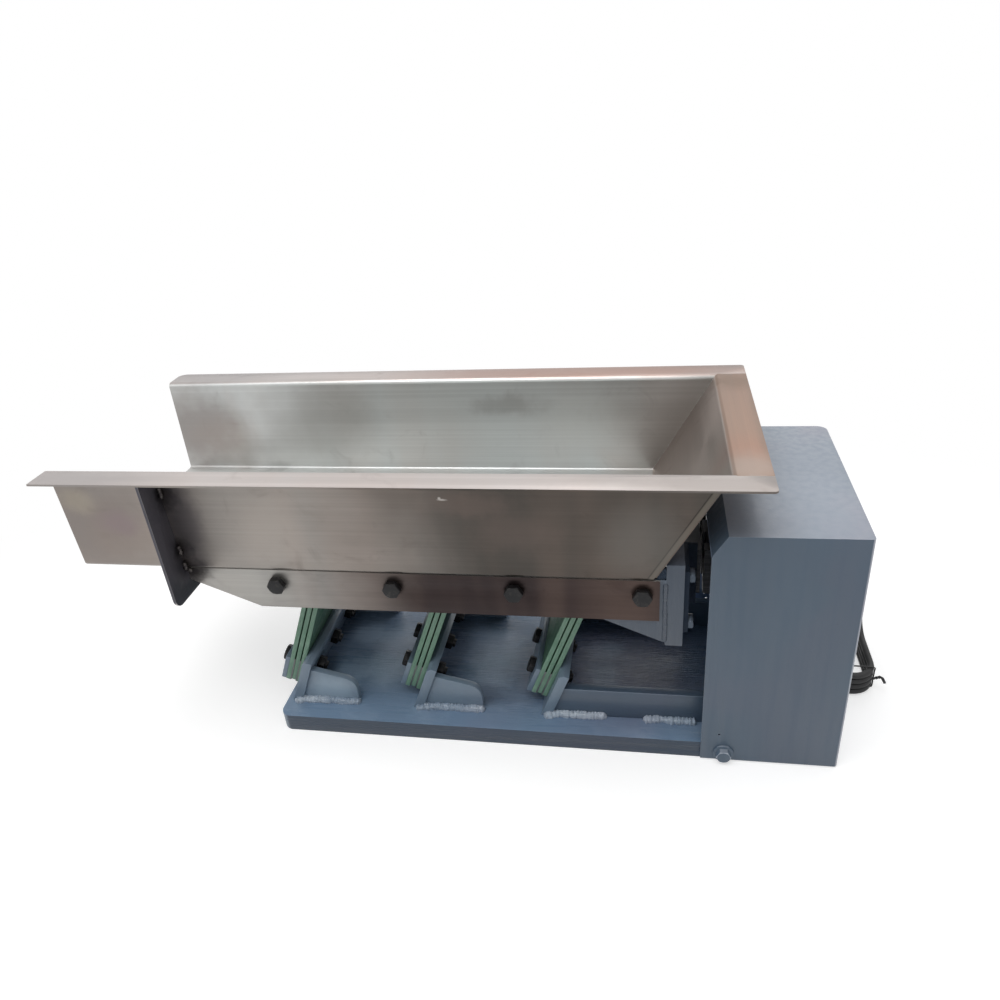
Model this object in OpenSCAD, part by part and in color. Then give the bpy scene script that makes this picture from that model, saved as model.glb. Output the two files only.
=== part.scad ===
// Linear vibratory feeder.
// A bent and welded stainless trough stands on three stacks of inclined leaf
// springs over a heavy base plate. An electromagnet under the drive cover pulls
// the armature plate of the moving frame, so the trough hops towards its open end.
//
// Frame: X runs along the trough, with the open (discharge) end at -X and the
// drive at +X; Y is across; Z is up. The origin is the centre of the base
// plate's underside.

/* [Base plate] */
// Length of the base plate
base_l = 576; // [560:2:600]
// Width of the base plate
base_w = 222; // [214:2:234]
// Thickness of the base plate
base_t = 20; // [18:1:25]
// Radius of the base plate's corners
base_r = 12; // [9:1:20]
// Tapping size of the four fixing holes in the underside
foot_hole_d = 8.5; // [6.8:0.1:10.2]
// Depth of the fixing holes
foot_hole_depth = 14; // [10:1:16]
// Distance between the fixing holes along the plate
foot_pitch_x = 500; // [480:5:520]
// Distance between the fixing holes across the plate
foot_pitch_y = 160; // [140:5:180]

/* [Leaf springs] */
// Lean of the leaves from upright, towards the drive end
lean = 21.5; // [18:0.5:24]
// Number of spring stacks
stacks = 3; // [2:1:3]
// Distance from one stack to the next
stack_pitch = 139.5; // [134:0.5:142]
// Distance from the end of the base plate to the foot of the first seat
seat_inset = 7; // [4:1:14]
// Leaves in one stack
leaves = 3; // [2:1:4]
// Width of a leaf
leaf_w = 144; // [134:1:150]
// Thickness of a leaf
leaf_t = 5; // [4:0.5:5.5]
// Length of a leaf
leaf_l = 174; // [164:1:184]
// Height of the leaf's lower end up the seat
leaf_foot = 13; // [11:1:18]
// Thickness of the spacers between the leaves
spacer_t = 1.2; // [1:0.1:1.6]
// Free height between the leaves and the trough
head_room = 10; // [8:1:16]

/* [Seats and clamps] */
// Width of a lower seat plate
seat_w = 174; // [170:1:184]
// Thickness of the seat plates
seat_t = 10; // [8:0.5:11]
// Height of a lower seat along its slope
seat_h = 60; // [56:1:66]
// Width of the relief cut along the seats' upper edge, beside the leaves
seat_relief = 4; // [2:0.5:5]
// Thickness of the clamp plates
clamp_t = 5; // [4:0.5:6]
// Height of the clamp plates and spacers
clamp_h = 32; // [28:1:36]
// Clamp bolts across one clamp plate
clamp_bolts = 3; // [2:1:3]
// Distance between clamp bolts
clamp_pitch = 49; // [40:1:52]
// Radial clearance of a bolt in its holes
bolt_fit = 0.5; // [0.3:0.1:0.8]

/* [Bolts] */
// Shank diameter of the frame and clamp bolts
bolt_d = 10; // [8:1:10]
// Width across flats of the bolt heads and nuts
bolt_af = 16; // [15:0.5:17]
// Height of the bolt heads
head_h = 6.4; // [5:0.2:7]
// Height of the nuts
nut_h = 8; // [6:0.5:8.5]
// Bolt thread left standing past the nut
bolt_end = 3; // [2:0.5:4]
// Extra diameter of a tapped hole over its bolt
thread_fit = 0.2; // [0.1:0.05:0.3]
// Shank diameter of the small bolts in cover, armature and magnet
small_d = 8; // [6:1:8]
// Width across flats of the small bolt heads
small_af = 13; // [12:0.5:15]
// Height of the small bolt heads
small_head_h = 5.4; // [4.6:0.2:6.2]

/* [Base ribs] */
// Distance of the outer face of gussets and ribs from the middle
rib_out = 84; // [82:0.5:85]
// Thickness of the gussets behind the first seats
gusset_t = 8; // [6:1:10]
// Height of a gusset at its seat
gusset_h = 42; // [36:1:46]
// Length of a gusset along the base plate
gusset_l = 66; // [58:1:74]
// Fall of the gusset's top edge
gusset_fall = 14; // [8:1:18]
// Radius of the gusset's rounded end
gusset_r = 16; // [10:1:17]
// Thickness of the two long ribs
rib_t = 10; // [8:1:12]
// Height of the two long ribs
rib_h = 35; // [30:1:42]
// Leg of the weld fillets
weld_leg = 5; // [4:0.5:6]
// Length of the welds along the long ribs
weld_l = 55; // [45:5:65]
// Gap between a weld's end and the seat that leans over it
weld_gap = 0.4; // [0.3:0.1:1]

/* [Trough] */
// Reach of the trough past the base plate at the open end
trough_reach = 168; // [150:2:190]
// Distance from the floor's end to the base plate's drive end
drive_room = 177; // [171:2:181]
// Width over the walls at the floor
floor_w = 220; // [216:1:222]
// Outward lean of each wall over its height
wall_out = 3; // [0:0.5:5]
// Height of the trough from the floor's underside to the top of the flange
trough_h = 111; // [100:1:118]
// Thickness of the trough's sheet
sheet_t = 2; // [1.5:0.25:2.5]
// Inner radius of the sheet's bends
bend_r = 3; // [2:0.5:4]
// Width of the side flanges outside the walls
flange_w = 29; // [24:1:34]
// Slope of the end wall from upright
end_slope = 30; // [24:1:34]
// Width of the end flange
end_flange = 31.5; // [28:0.5:38]
// Radius of the flange corners at the open end
tip_r = 9; // [5:1:12]

/* [Trough supports] */
// Thickness of the front stiffener
stiff_t = 3; // [2:0.5:4]
// Place of the stiffener from the trough's open end
stiff_x = 108; // [100:1:116]
// Depth of the stiffener below the floor
stiff_drop = 28.5; // [26:0.5:34]
// Distance of the stiffener's edge inside the flange's edge
stiff_inset = 2; // [1:0.5:4]
// Radius of the stiffener's lower corners
stiff_r = 10; // [6:1:14]
// Depth of the side skirts below the floor
skirt_h = 44.5; // [42:0.5:48]
// Distance of the skirts' outer faces inside the floor's edge
skirt_inset = 2; // [2:0.5:4]
// Reach of the skirts past the end of the floor
skirt_reach = 6.5; // [4:0.5:10]
// Length of the skirts' cut front corner
skirt_cut_l = 70; // [60:1:75]
// Height of the skirts' cut front corner
skirt_cut_h = 30.5; // [26:0.5:32]
// Bolts along one skirt
skirt_bolts = 4; // [3:1:4]
// Distance between the skirt bolts
skirt_pitch = 118; // [110:1:121]
// Distance from the floor's end back to the last skirt bolt
skirt_last = 9; // [8:1:14]
// Depth of the skirt bolts below the floor
skirt_bolt_drop = 16.5; // [14:0.5:20]

/* [Moving frame] */
// Thickness of the frame's cheeks
cheek_t = 8; // [6:1:10]
// Depth of the cheeks below the floor
cheek_h = 39; // [37:1:41]
// Distance of the cheeks' front end behind the skirts' cut corner
cheek_back = 0; // [-4:1:6]
// Depth of the cheeks at the armature plate
cheek_tail_h = 71; // [66:1:76]
// Length of the cheeks' sloping tail
cheek_tail_l = 73; // [66:1:84]
// Thickness of the armature plate
plate_t = 16; // [12:1:17]
// Distance of the armature plate past the end of the floor
plate_gap = 12; // [11:1:15]
// Depth of the armature plate below the floor
plate_drop = 74; // [72:1:78]
// Height of the armature plate above the floor's underside
plate_rise = 16; // [8:1:16]
// Least distance of the armature plate behind the last upper clamp's bolts
plate_clear = 4; // [2:1:10]

/* [Electromagnet] */
// Width of the magnet's and armature's laminations
core_w = 90; // [84:2:96]
// Height of the lamination stacks
core_h = 50; // [44:2:54]
// Length of the magnet core
core_l = 46; // [42:1:50]
// Width of the core's middle leg
core_leg = 24; // [20:1:26]
// Width of the core's outer legs and yoke
core_side = 13; // [11:1:14]
// Thickness of the armature
armature_t = 18; // [16:1:19]
// Air gap between the armature and the magnet
air_gap = 3; // [2.5:0.5:4]
// Height of the coil above and below the core
coil_over = 15; // [12:1:18]
// Clearance between the coil and the core
coil_fit = 0.4; // [0.3:0.1:0.8]
// Depth of the magnet's middle below the floor
magnet_drop = 31; // [30:1:34]
// Thickness of the magnet bracket
bracket_t = 12; // [10:1:14]
// Height of the magnet bracket above the core
bracket_over = 20; // [17:1:24]
// Height of the gussets behind the bracket
bracket_rib_h = 132; // [100:4:150]
// Length of the gussets behind the bracket
bracket_rib_l = 66; // [50:1:66]
// Thickness of the clamp angles on core and armature
angle_t = 5; // [4:0.5:6]
// Height of the clamp angles
angle_h = 68; // [66:1:72]
// Reach of the armature's angles along the armature plate
plate_leg = 52; // [48:1:56]
// Reach of the core's angles along the bracket
bracket_leg = 34; // [32:1:36]
// Length of the clamp angles along the core
core_grip = 18; // [15:1:20]
// Length of the clamp angles along the armature
armature_grip = 14; // [12:1:15]
// Distance of the angle bolts from the angles' edges
angle_edge = 8; // [7:0.5:9]

/* [Drive cover] */
// Thickness of the cover's sheet
cover_t = 2; // [1.5:0.25:2.5]
// Clearance between the cover and the base plate
cover_fit = 0.5; // [0.3:0.1:0.8]
// Height of the cover's top above the floor
cover_h = 262; // [256:1:266]
// Length of the cover over the base plate
cover_l = 130; // [124:1:134]
// Gap between the cover and the floor
cover_foot = 1; // [1:0.5:3]
// Length of the cover's sloping front lip along X
lip_l = 13; // [10:1:18]
// Height of the cover's sloping front lip
lip_h = 21; // [16:1:26]
// Radius of the cover's corner at the back
cover_r = 10; // [6:1:12]
// Radius of the cover's corner at the front
cover_edge_r = 3; // [2.75:0.25:5]
// Distance of the side bolts from the cover's open edge
cover_bolt_x = 22; // [18:1:28]
// Distance between the two end bolts
cover_end_pitch = 140; // [120:5:160]
// Depth of the cover bolts in the base plate
cover_bolt_l = 14; // [10:1:18]
// Diameter of the cover bolts' flanges
cover_flange_d = 20; // [18:1:22]
// Diameter of the pilot hole in each side of the cover
pilot_d = 2.5; // [2:0.5:4]
// Height of the pilot hole
pilot_z = 34; // [30:1:40]

/* [Power cord] */
// Diameter of the power cord
cord_d = 7; // [6:0.5:7]
// Distance of the cable gland from the cover's far side
gland_edge = 30.5; // [26:0.5:50]
// Height of the cable gland
gland_z = 80.5; // [74:0.5:100]
// Diameter of the gland's thread
gland_d = 16; // [14:1:18]
// Reach of the gland out of the cover
gland_l = 18; // [16:1:22]
// Folded layers of cord in the hank
hank_layers = 4; // [3:1:5]

/* [Hidden] */

$fn = 48;
eps = 1;                                  // how far a cutter runs past a face
arc_steps = 6;                            // straight pieces in a bend

// Springs
base_end = -base_l / 2;
seat_x0 = base_end + seat_inset;
stack_t = leaves * leaf_t + (leaves - 1) * spacer_t;
leaf_top = leaf_foot + leaf_l;
floor_z = base_t + leaf_top * cos(lean) + stack_t * sin(lean) + head_room;
lower_bolt_z = leaf_foot + clamp_h / 2;   // up the slope
upper_bolt_z = leaf_top - clamp_h / 2;
seat_foot_t = seat_t / cos(lean);         // a seat's thickness along the base

// Trough
trough_x0 = base_end - trough_reach;
floor_end = base_l / 2 - drive_room;
flange_z = floor_z + trough_h;
pan_half = floor_w / 2;
wall_rise = trough_h - sheet_t;
end_run = wall_rise * tan(end_slope);     // how far the end wall runs back
trough_end = floor_end + end_run + end_flange;
flange_half = pan_half + wall_out + flange_w;
stiff_back = trough_x0 + stiff_x + stiff_t;
skirt_face = pan_half - skirt_inset;
skirt_bolt_z = floor_z - skirt_bolt_drop;
skirt_bolt_x = floor_end - skirt_last;

// Moving frame
cheek_out = skirt_face - sheet_t;
cheek_in = cheek_out - cheek_t;
cheek_front = stiff_back + skirt_cut_l + cheek_back;
skirt_run = skirt_bolt_x - cheek_front - bolt_af;
skirt_count = min(skirt_bolts, 1 + floor(skirt_run / skirt_pitch));
last_clamp_x = seat_x0 + (stacks - 1) * stack_pitch + leaf_top * sin(lean)
             + (clamp_t + nut_h + bolt_end) * cos(lean);
plate_x = max(floor_end + plate_gap, last_clamp_x + plate_clear);
magnet_z = floor_z - magnet_drop;
armature_x = plate_x + plate_t;
core_x = armature_x + armature_t + air_gap;
bracket_x = core_x + core_l;
window_w = (core_w - core_leg) / 2 - core_side;
window_l = core_l - core_side;
bracket_top = magnet_z + core_h / 2 + bracket_over;
bracket_rib_x = bracket_x + bracket_t;
rib_x0 = seat_x0 + (stacks - 1) * stack_pitch + seat_foot_t;

// Cover
cover_end = base_l / 2 + cover_fit + cover_t;
cover_x0 = cover_end - cover_l;
cover_half = base_w / 2 + cover_fit + cover_t;

// Cord: out of the gland, down to the hank, and the tail with its connector
gland_y = cover_half - gland_edge;
hank_x1 = cover_end + gland_l + 37.5;     // middle of the outer run
hank_x0 = hank_x1 - 42;                   // middle of the run beside the cover
hank_y0 = gland_y - 68.5;                 // middle of the near fold
hank_y1 = hank_y0 + 120;                  // middle of the far fold
hank_top = (hank_layers - 0.5) * cord_d;  // middle of the top layer
plug_r = 9;
// from the gland's mouth: straight out, then bending down
out_way = [[0, 0, 0], [4.5, 0, 0], [9.5, 0, 0], [16.5, 0, -1], [23.5, 0, -4],
           [29.5, 0, -8.5], [34, 0, -14.5], [36.5, 0, -21]];
// from the hank's top layer: bending from upright to lie along it
down_way = [[37.5, 0, 28], [37.5, -1, 21], [37.5, -4, 14], [37.5, -8, 8],
            [37.5, -14, 3.8], [37.5, -21, 1], [37.5, -28, 0]];
// from the bottom layer's far fold to the connector
tail_way = [[0, 11.5, 0], [0, 17.5, 0.05], [0, 23.5, 0.25], [0, 29.5, 0.6], [0, 35.5, 0.9],
            [0, 41.5, 1], [0, 48.5, 1]];
lead_route = concat([for (p = out_way) [cover_end + gland_l, gland_y, gland_z] + p],
                    [for (p = down_way) [cover_end + gland_l, gland_y, hank_top] + p]);
tail_route = [for (p = tail_way)
    [hank_x0, hank_y1 + p.y, cord_d / 2 + (plug_r - cord_d / 2) * p.z]];

// ---------------------------------------------------------------- profiles

// Extrudes an outline drawn in X and Z across Y, centred
module across(w) {
    rotate([90, 0, 0])
        linear_extrude(w, center = true)
            children();
}

// Extrudes an outline drawn in Y and Z along X from x0
module along(x0, l) {
    translate([x0, 0, 0])
        rotate([90, 0, 90])
            linear_extrude(l)
                children();
}

// Puts a thing at both sides, given for +Y
module both_sides() {
    children();
    mirror([0, 1, 0])
        children();
}

// Rectangle with round corners, centred
module plan_round(l, w, r) {
    square([l - 2 * r, w], center = true);
    square([l, w - 2 * r], center = true);
    for (sx = [-1, 1], sy = [-1, 1])
        translate([sx * (l / 2 - r), sy * (w / 2 - r)])
            circle(r);
}

// Points of an arc about c from angle a0 to a1
function arc(c, r, a0, a1, n = arc_steps) =
    [for (i = [0 : n]) c + r * [cos(a0 + (a1 - a0) * i / n), sin(a0 + (a1 - a0) * i / n)]];

function flip(points) = [for (i = [len(points) - 1 : -1 : 0]) [-points[i].x, points[i].y]];

// The outline of one side of the bent sheet at depth d below its inner surface,
// from the floor's middle out to the edge of the flange
function pan_half_line(d) =
    let (lean_a = atan(wall_out / wall_rise),
         floor_y = sheet_t - d,
         foot = pan_half - sheet_t + d,
         top = pan_half + wall_out - sheet_t + d,
         r_floor = bend_r + d,
         r_top = bend_r + sheet_t - d,
         c_floor = [pan_half - sheet_t - bend_r, sheet_t + bend_r],
         c_top = [pan_half + wall_out + bend_r, trough_h - sheet_t - bend_r])
    concat([[0, floor_y]],
           arc(c_floor, r_floor, -90, -lean_a),
           arc(c_top, r_top, 180 - lean_a, 90),
           [[flange_half, trough_h - d]]);

inner_line = pan_half_line(0);
outer_line = pan_half_line(sheet_t);
last = len(inner_line) - 1;

// The sheet's section, from one flange's edge to the other
module pan_section() {
    inner = [for (i = [1 : last]) inner_line[i]];
    outer = [for (i = [last : -1 : 1]) outer_line[i]];
    polygon(concat(flip(inner), inner, outer, flip(outer)));
}

// Everything inside the trough up to the flange's top
module pan_inside() {
    half = [for (i = [1 : last - 1]) inner_line[i]];
    polygon(concat(flip(half), half));
}

// Everything inside the trough's outer surface
module pan_outside() {
    half = [for (i = [1 : last]) outer_line[i]];
    edge = [[flange_half, trough_h]];
    polygon(concat(flip(edge), flip(half), half, edge));
}

// Hexagon with its lower face at 0 and its upper corners turned off
module hex(af, h) {
    intersection() {
        cylinder(d = af / cos(30), h = h, $fn = 6);
        cylinder(r1 = af / 2 * 0.95 + h / tan(30), r2 = af / 2 * 0.95, h = h);
    }
}

// Bolt along +Z: head above 0, shank below
module bolt(d, af, head, l) {
    hex(af, head);
    translate([0, 0, -l])
        cylinder(d = d, h = l);
}

module nut(d, af, h) {
    difference() {
        hex(af, h);
        translate([0, 0, -eps])
            cylinder(d = d + thread_fit, h = h + 2 * eps);
    }
}

// ------------------------------------------------------------ spring stacks

// Local frame of stack k: +Z up the slope, +X towards the drive, 0 at the seat's face
module at_stack(k) {
    translate([seat_x0 + k * stack_pitch, 0, base_t])
        rotate([0, lean, 0])
            children();
}

// The places of the clamp bolts, across one stack
module at_clamp_bolts(k, up) {
    at_stack(k)
        for (i = [0 : clamp_bolts - 1])
            translate([0, (i - (clamp_bolts - 1) / 2) * clamp_pitch, up])
                children();
}

// Plate in a stack's frame, from x0 with thickness t, with its bolt holes
module stack_plate(k, x0, t, w, z0, z1, up) {
    difference() {
        at_stack(k)
            translate([x0, -w / 2, z0])
                cube([t, w, z1 - z0]);
        at_clamp_bolts(k, up)
            translate([x0 - eps, 0, 0])
                rotate([0, 90, 0])
                    cylinder(d = bolt_d + 2 * bolt_fit, h = t + 2 * eps);
    }
}

module base_plate() {
    color("slategray")
        difference() {
            linear_extrude(base_t)
                plan_round(base_l, base_w, base_r);
            for (sx = [-1, 1], sy = [-1, 1])
                translate([sx * foot_pitch_x / 2, sy * foot_pitch_y / 2, -eps])
                    cylinder(d = foot_hole_d, h = foot_hole_depth + eps);
            both_sides()
                translate([cover_x0 + cover_bolt_x, base_w / 2, base_t / 2])
                    rotate([90, 0, 0])
                        translate([0, 0, -eps])
                            cylinder(d = small_d + thread_fit, h = cover_bolt_l + eps);
            for (sy = [-1, 1])
                translate([base_l / 2, sy * cover_end_pitch / 2, base_t / 2])
                    rotate([0, -90, 0])
                        translate([0, 0, -eps])
                            cylinder(d = small_d + thread_fit, h = cover_bolt_l + eps);
        }
}

// Leaning seats welded on the base, cut level at the foot
module lower_seats() {
    color("slategray")
        for (k = [0 : stacks - 1])
            difference() {
                translate([seat_x0 + k * stack_pitch, 0, base_t])
                    across(seat_w)
                        polygon([[0, 0],
                                 (seat_h - seat_relief) * [sin(lean), cos(lean)],
                                 seat_h * [sin(lean), cos(lean)]
                                 + seat_relief * [cos(lean), -sin(lean)],
                                 seat_h * [sin(lean), cos(lean)] + seat_t * [cos(lean), -sin(lean)],
                                 [seat_foot_t, 0]]);
                at_clamp_bolts(k, lower_bolt_z)
                    translate([-eps, 0, 0])
                        rotate([0, 90, 0])
                            cylinder(d = bolt_d + 2 * bolt_fit, h = seat_t + 2 * eps);
            }
}

// Side profile of a gusset, from the seat's foot
module gusset_profile() {
    centre = [gusset_l - gusset_r,
              gusset_h - tan(gusset_fall) * (gusset_l - gusset_r - gusset_h * tan(lean))
              - gusset_r / cos(gusset_fall)];
    polygon(concat([[0, 0], [gusset_h * tan(lean), gusset_h]],
                   arc(centre, gusset_r, 90 - gusset_fall, 0),
                   [[gusset_l, 0]]));
}

module lower_gussets() {
    color("slategray")
        both_sides()
            for (k = [0 : stacks - 2])
                translate([seat_x0 + k * stack_pitch + seat_foot_t, rib_out - gusset_t / 2, base_t])
                    across(gusset_t)
                        gusset_profile();
}

// Long ribs from the last seat to the magnet bracket
module base_ribs() {
    color("slategray")
        both_sides()
            translate([0, rib_out - rib_t / 2, base_t])
                across(rib_t)
                    polygon([[rib_x0, 0], [rib_x0 + rib_h * tan(lean), rib_h],
                             [bracket_x, rib_h], [bracket_x, 0]]);
}

// Fillet of weld along X at a rib's outer foot
module weld_bead(x0, l) {
    both_sides()
        translate([0, rib_out, base_t])
            along(x0, l)
                polygon(concat([[0, 0]], arc([0, 0], weld_leg, 0, 90)));
}

module base_welds() {
    under_seat = weld_leg * tan(lean) + weld_gap;
    color("lightsteelblue") {
        for (k = [0 : stacks - 2])
            weld_bead(seat_x0 + k * stack_pitch + seat_foot_t + under_seat, gusset_l - under_seat);
        weld_bead(rib_x0 + under_seat, weld_l);
        weld_bead(bracket_x - 2 * weld_l, weld_l);
    }
}

module lower_clamp_plates() {
    color("slategray")
        for (k = [0 : stacks - 1])
            stack_plate(k, -stack_t - clamp_t, clamp_t, leaf_w,
                        leaf_foot, leaf_foot + clamp_h, lower_bolt_z);
}

// Thin plates between the leaves, at one end of every stack
module spacers(z0, up) {
    for (k = [0 : stacks - 1], i = [1 : leaves - 1])
        stack_plate(k, -i * (leaf_t + spacer_t), spacer_t, leaf_w, z0, z0 + clamp_h, up);
}

module lower_spacers() {
    color("dimgray")
        spacers(leaf_foot, lower_bolt_z);
}

module upper_spacers() {
    color("dimgray")
        spacers(leaf_top - clamp_h, upper_bolt_z);
}

// Heads on the clamp plates, above the leaves
module lower_clamp_bolts() {
    color("black")
        for (k = [0 : stacks - 1])
            at_clamp_bolts(k, lower_bolt_z)
                translate([-stack_t - clamp_t, 0, 0])
                    rotate([0, -90, 0])
                        bolt(bolt_d, bolt_af, head_h, stack_t + clamp_t + seat_t + nut_h + bolt_end);
}

module lower_clamp_nuts() {
    color("black")
        for (k = [0 : stacks - 1])
            at_clamp_bolts(k, lower_bolt_z)
                translate([seat_t, 0, 0])
                    rotate([0, 90, 0])
                        nut(bolt_d, bolt_af, nut_h);
}

// The leaves of stack k
module leaf_stack(k) {
    color("darkseagreen")
        for (i = [0 : leaves - 1])
            difference() {
                at_stack(k)
                    translate([-i * (leaf_t + spacer_t) - leaf_t, -leaf_w / 2, leaf_foot])
                        cube([leaf_t, leaf_w, leaf_l]);
                for (up = [lower_bolt_z, upper_bolt_z])
                    at_clamp_bolts(k, up)
                        translate([-stack_t - eps, 0, 0])
                            rotate([0, 90, 0])
                                cylinder(d = bolt_d + 2 * bolt_fit, h = stack_t + 2 * eps);
            }
}

module leaf_stack_front() leaf_stack(0);

module leaf_stack_middle() leaf_stack(1);

module leaf_stack_rear() leaf_stack(stacks - 1);

// Seats that hang between the cheeks, on the upper side of the leaves
module upper_seats() {
    z0 = leaf_top - clamp_h;
    z1 = (floor_z - base_t) / cos(lean);
    color("slategray")
        for (k = [0 : stacks - 1])
            difference() {
                stack_plate(k, -stack_t - seat_t, seat_t, 2 * cheek_in, z0, z1 + seat_t, upper_bolt_z);
                translate([0, 0, floor_z + 50])
                    cube([2 * base_l, base_w, 100], center = true);
            }
}

module upper_clamp_plates() {
    color("slategray")
        for (k = [0 : stacks - 1])
            stack_plate(k, 0, clamp_t, leaf_w, leaf_top - clamp_h, leaf_top, upper_bolt_z);
}

module upper_clamp_bolts() {
    color("black")
        for (k = [0 : stacks - 1])
            at_clamp_bolts(k, upper_bolt_z)
                translate([clamp_t, 0, 0])
                    rotate([0, 90, 0])
                        bolt(bolt_d, bolt_af, head_h, stack_t + clamp_t + seat_t + nut_h + bolt_end);
}

module upper_clamp_nuts() {
    color("black")
        for (k = [0 : stacks - 1])
            at_clamp_bolts(k, upper_bolt_z)
                translate([-stack_t - seat_t, 0, 0])
                    rotate([0, -90, 0])
                        nut(bolt_d, bolt_af, nut_h);
}

// ------------------------------------------------------------- moving frame

// Places of the skirt bolts, on +Y, looking out along Z
module at_skirt_bolts() {
    both_sides()
        for (i = [0 : skirt_count - 1])
            translate([skirt_bolt_x - i * skirt_pitch, 0, skirt_bolt_z])
                rotate([-90, 0, 0])
                    children();
}

module skirt_holes(d) {
    at_skirt_bolts()
        cylinder(d = d, h = flange_half);
}

// Side plates of the frame, deeper at the armature end
module frame_cheeks() {
    color("lightslategray")
        difference() {
            both_sides()
                translate([0, cheek_in + cheek_t / 2, 0])
                    across(cheek_t)
                        polygon([[cheek_front, floor_z - cheek_h],
                                 [cheek_front, floor_z],
                                 [plate_x, floor_z],
                                 [plate_x, floor_z - cheek_tail_h],
                                 [plate_x - cheek_tail_l, floor_z - cheek_h]]);
            skirt_holes(bolt_d + thread_fit);
        }
}

// Places of the four bolts through angles of a given leg, looking along +X
module at_angle_bolts(leg) {
    for (sy = [-1, 1], sz = [-1, 1])
        translate([0, sy * (core_w / 2 + leg - angle_edge), magnet_z + sz * (angle_h / 2 - angle_edge)])
            rotate([0, 90, 0])
                children();
}

module armature_plate() {
    color("lightslategray")
        difference() {
            translate([plate_x, -cheek_out, floor_z - plate_drop])
                cube([plate_t, 2 * cheek_out, plate_drop + plate_rise]);
            translate([plate_x - eps, 0, 0])
                at_angle_bolts(plate_leg)
                    cylinder(d = small_d + thread_fit, h = plate_t + 2 * eps);
        }
}

// Laminated block that the magnet pulls
module armature_core() {
    color("dimgray")
        translate([armature_x, -core_w / 2, magnet_z - core_h / 2])
            cube([armature_t, core_w, core_h]);
}

// Pair of angles, each with one leg on the face at 0 and one leg along the block
module angle_pair(grip, leg) {
    difference() {
        both_sides()
            translate([0, core_w / 2, magnet_z - angle_h / 2]) {
                cube([grip, angle_t, angle_h]);
                cube([angle_t, leg, angle_h]);
            }
        translate([-eps, 0, 0])
            at_angle_bolts(leg)
                cylinder(d = small_d + 2 * bolt_fit, h = angle_t + 2 * eps);
    }
}

module armature_angles() {
    color("gray")
        translate([armature_x, 0, 0])
            angle_pair(armature_grip, plate_leg);
}

// Bolts through the armature plate, heads on the drive side
module armature_bolts() {
    color("silver")
        translate([armature_x + angle_t, 0, 0])
            at_angle_bolts(plate_leg)
                bolt(small_d, small_af, small_head_h, angle_t + plate_t);
}

// ------------------------------------------------------------------- magnet

module magnet_bracket() {
    color("slategray")
        difference() {
            translate([bracket_x, -rib_out, base_t])
                cube([bracket_t, 2 * rib_out, bracket_top - base_t]);
            translate([bracket_x - eps, 0, 0])
                at_angle_bolts(bracket_leg)
                    cylinder(d = small_d + thread_fit, h = bracket_t + 2 * eps);
        }
}

// Gussets behind the bracket
module magnet_gussets() {
    foot = min(bracket_rib_l, base_l / 2 - bracket_rib_x - 2);
    toe = 20;
    color("slategray")
        both_sides()
            translate([bracket_rib_x, rib_out - rib_t / 2, base_t])
                across(rib_t)
                    polygon([[0, 0], [0, bracket_rib_h], [toe, bracket_rib_h], [foot, toe], [foot, 0]]);
}

// Laminated core with three legs towards the armature
module magnet_core() {
    color("dimgray")
        translate([core_x, 0, magnet_z - core_h / 2])
            linear_extrude(core_h)
                difference() {
                    translate([0, -core_w / 2])
                        square([core_l, core_w]);
                    for (s = [-1, 1])
                        translate([-eps, s * (core_leg + window_w) / 2 - window_w / 2])
                            square([window_l + eps, window_w]);
                }
}

// Wound ring round the middle leg
module magnet_coil() {
    inner_w = core_leg + 2 * coil_fit;
    inner_h = core_h + 2 * coil_fit;
    outer_w = core_leg + 2 * window_w - 2 * coil_fit;
    color("firebrick")
        difference() {
            along(core_x + 3, window_l - 3 - coil_fit)
                translate([0, magnet_z])
                    plan_round(outer_w, core_h + 2 * coil_over, 8);
            along(core_x + 3 - eps, window_l + 2 * eps)
                translate([0, magnet_z])
                    square([inner_w, inner_h], center = true);
        }
}

module magnet_angles() {
    color("gray")
        translate([bracket_x, 0, 0])
            mirror([1, 0, 0])
                angle_pair(core_grip, bracket_leg);
}

module magnet_bolts() {
    color("silver")
        translate([bracket_x - angle_t, 0, 0])
            mirror([1, 0, 0])
                at_angle_bolts(bracket_leg)
                    bolt(small_d, small_af, small_head_h, angle_t + bracket_t);
}

// ------------------------------------------------------------------- trough

// Outline in X and Z of the end wall's inner face, moved out by d
function end_line(d) =
    let (u = [sin(end_slope), cos(end_slope)],
         n = [cos(end_slope), -sin(end_slope)],
         foot = [floor_end, floor_z + sheet_t],
         top = [floor_end + end_run, flange_z],
         bend = (bend_r + sheet_t) * tan((90 - end_slope) / 2),
         c = top + [bend, -(bend_r + sheet_t)],
         r = bend_r + sheet_t - d)
    concat([foot + d * n - u * (d * tan(end_slope))],
           arc(c, r, 180 - end_slope, 90),
           [[trough_end, flange_z - d]]);

// Floor, two walls and two flanges, bent from one sheet
module trough_pan() {
    skin = end_line(sheet_t);
    color("silver")
        difference() {
            translate([0, 0, floor_z])
                along(trough_x0, trough_end - trough_x0)
                    pan_section();
            // what lies past the end wall, under the flanges
            across(2 * (pan_half + wall_out + bend_r))
                polygon(concat(skin, [[trough_end + eps, flange_z - sheet_t],
                                      [trough_end + eps, floor_z - eps],
                                      [skin[0].x, floor_z - eps]]));
            across(2 * (pan_half + wall_out + bend_r))
                polygon([for (p = concat(end_line(0), [[trough_end + eps, flange_z]],
                                         [for (i = [len(skin) - 1 : -1 : 0]) skin[i]])) p]);
            tip_cuts();
        }
}

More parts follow.
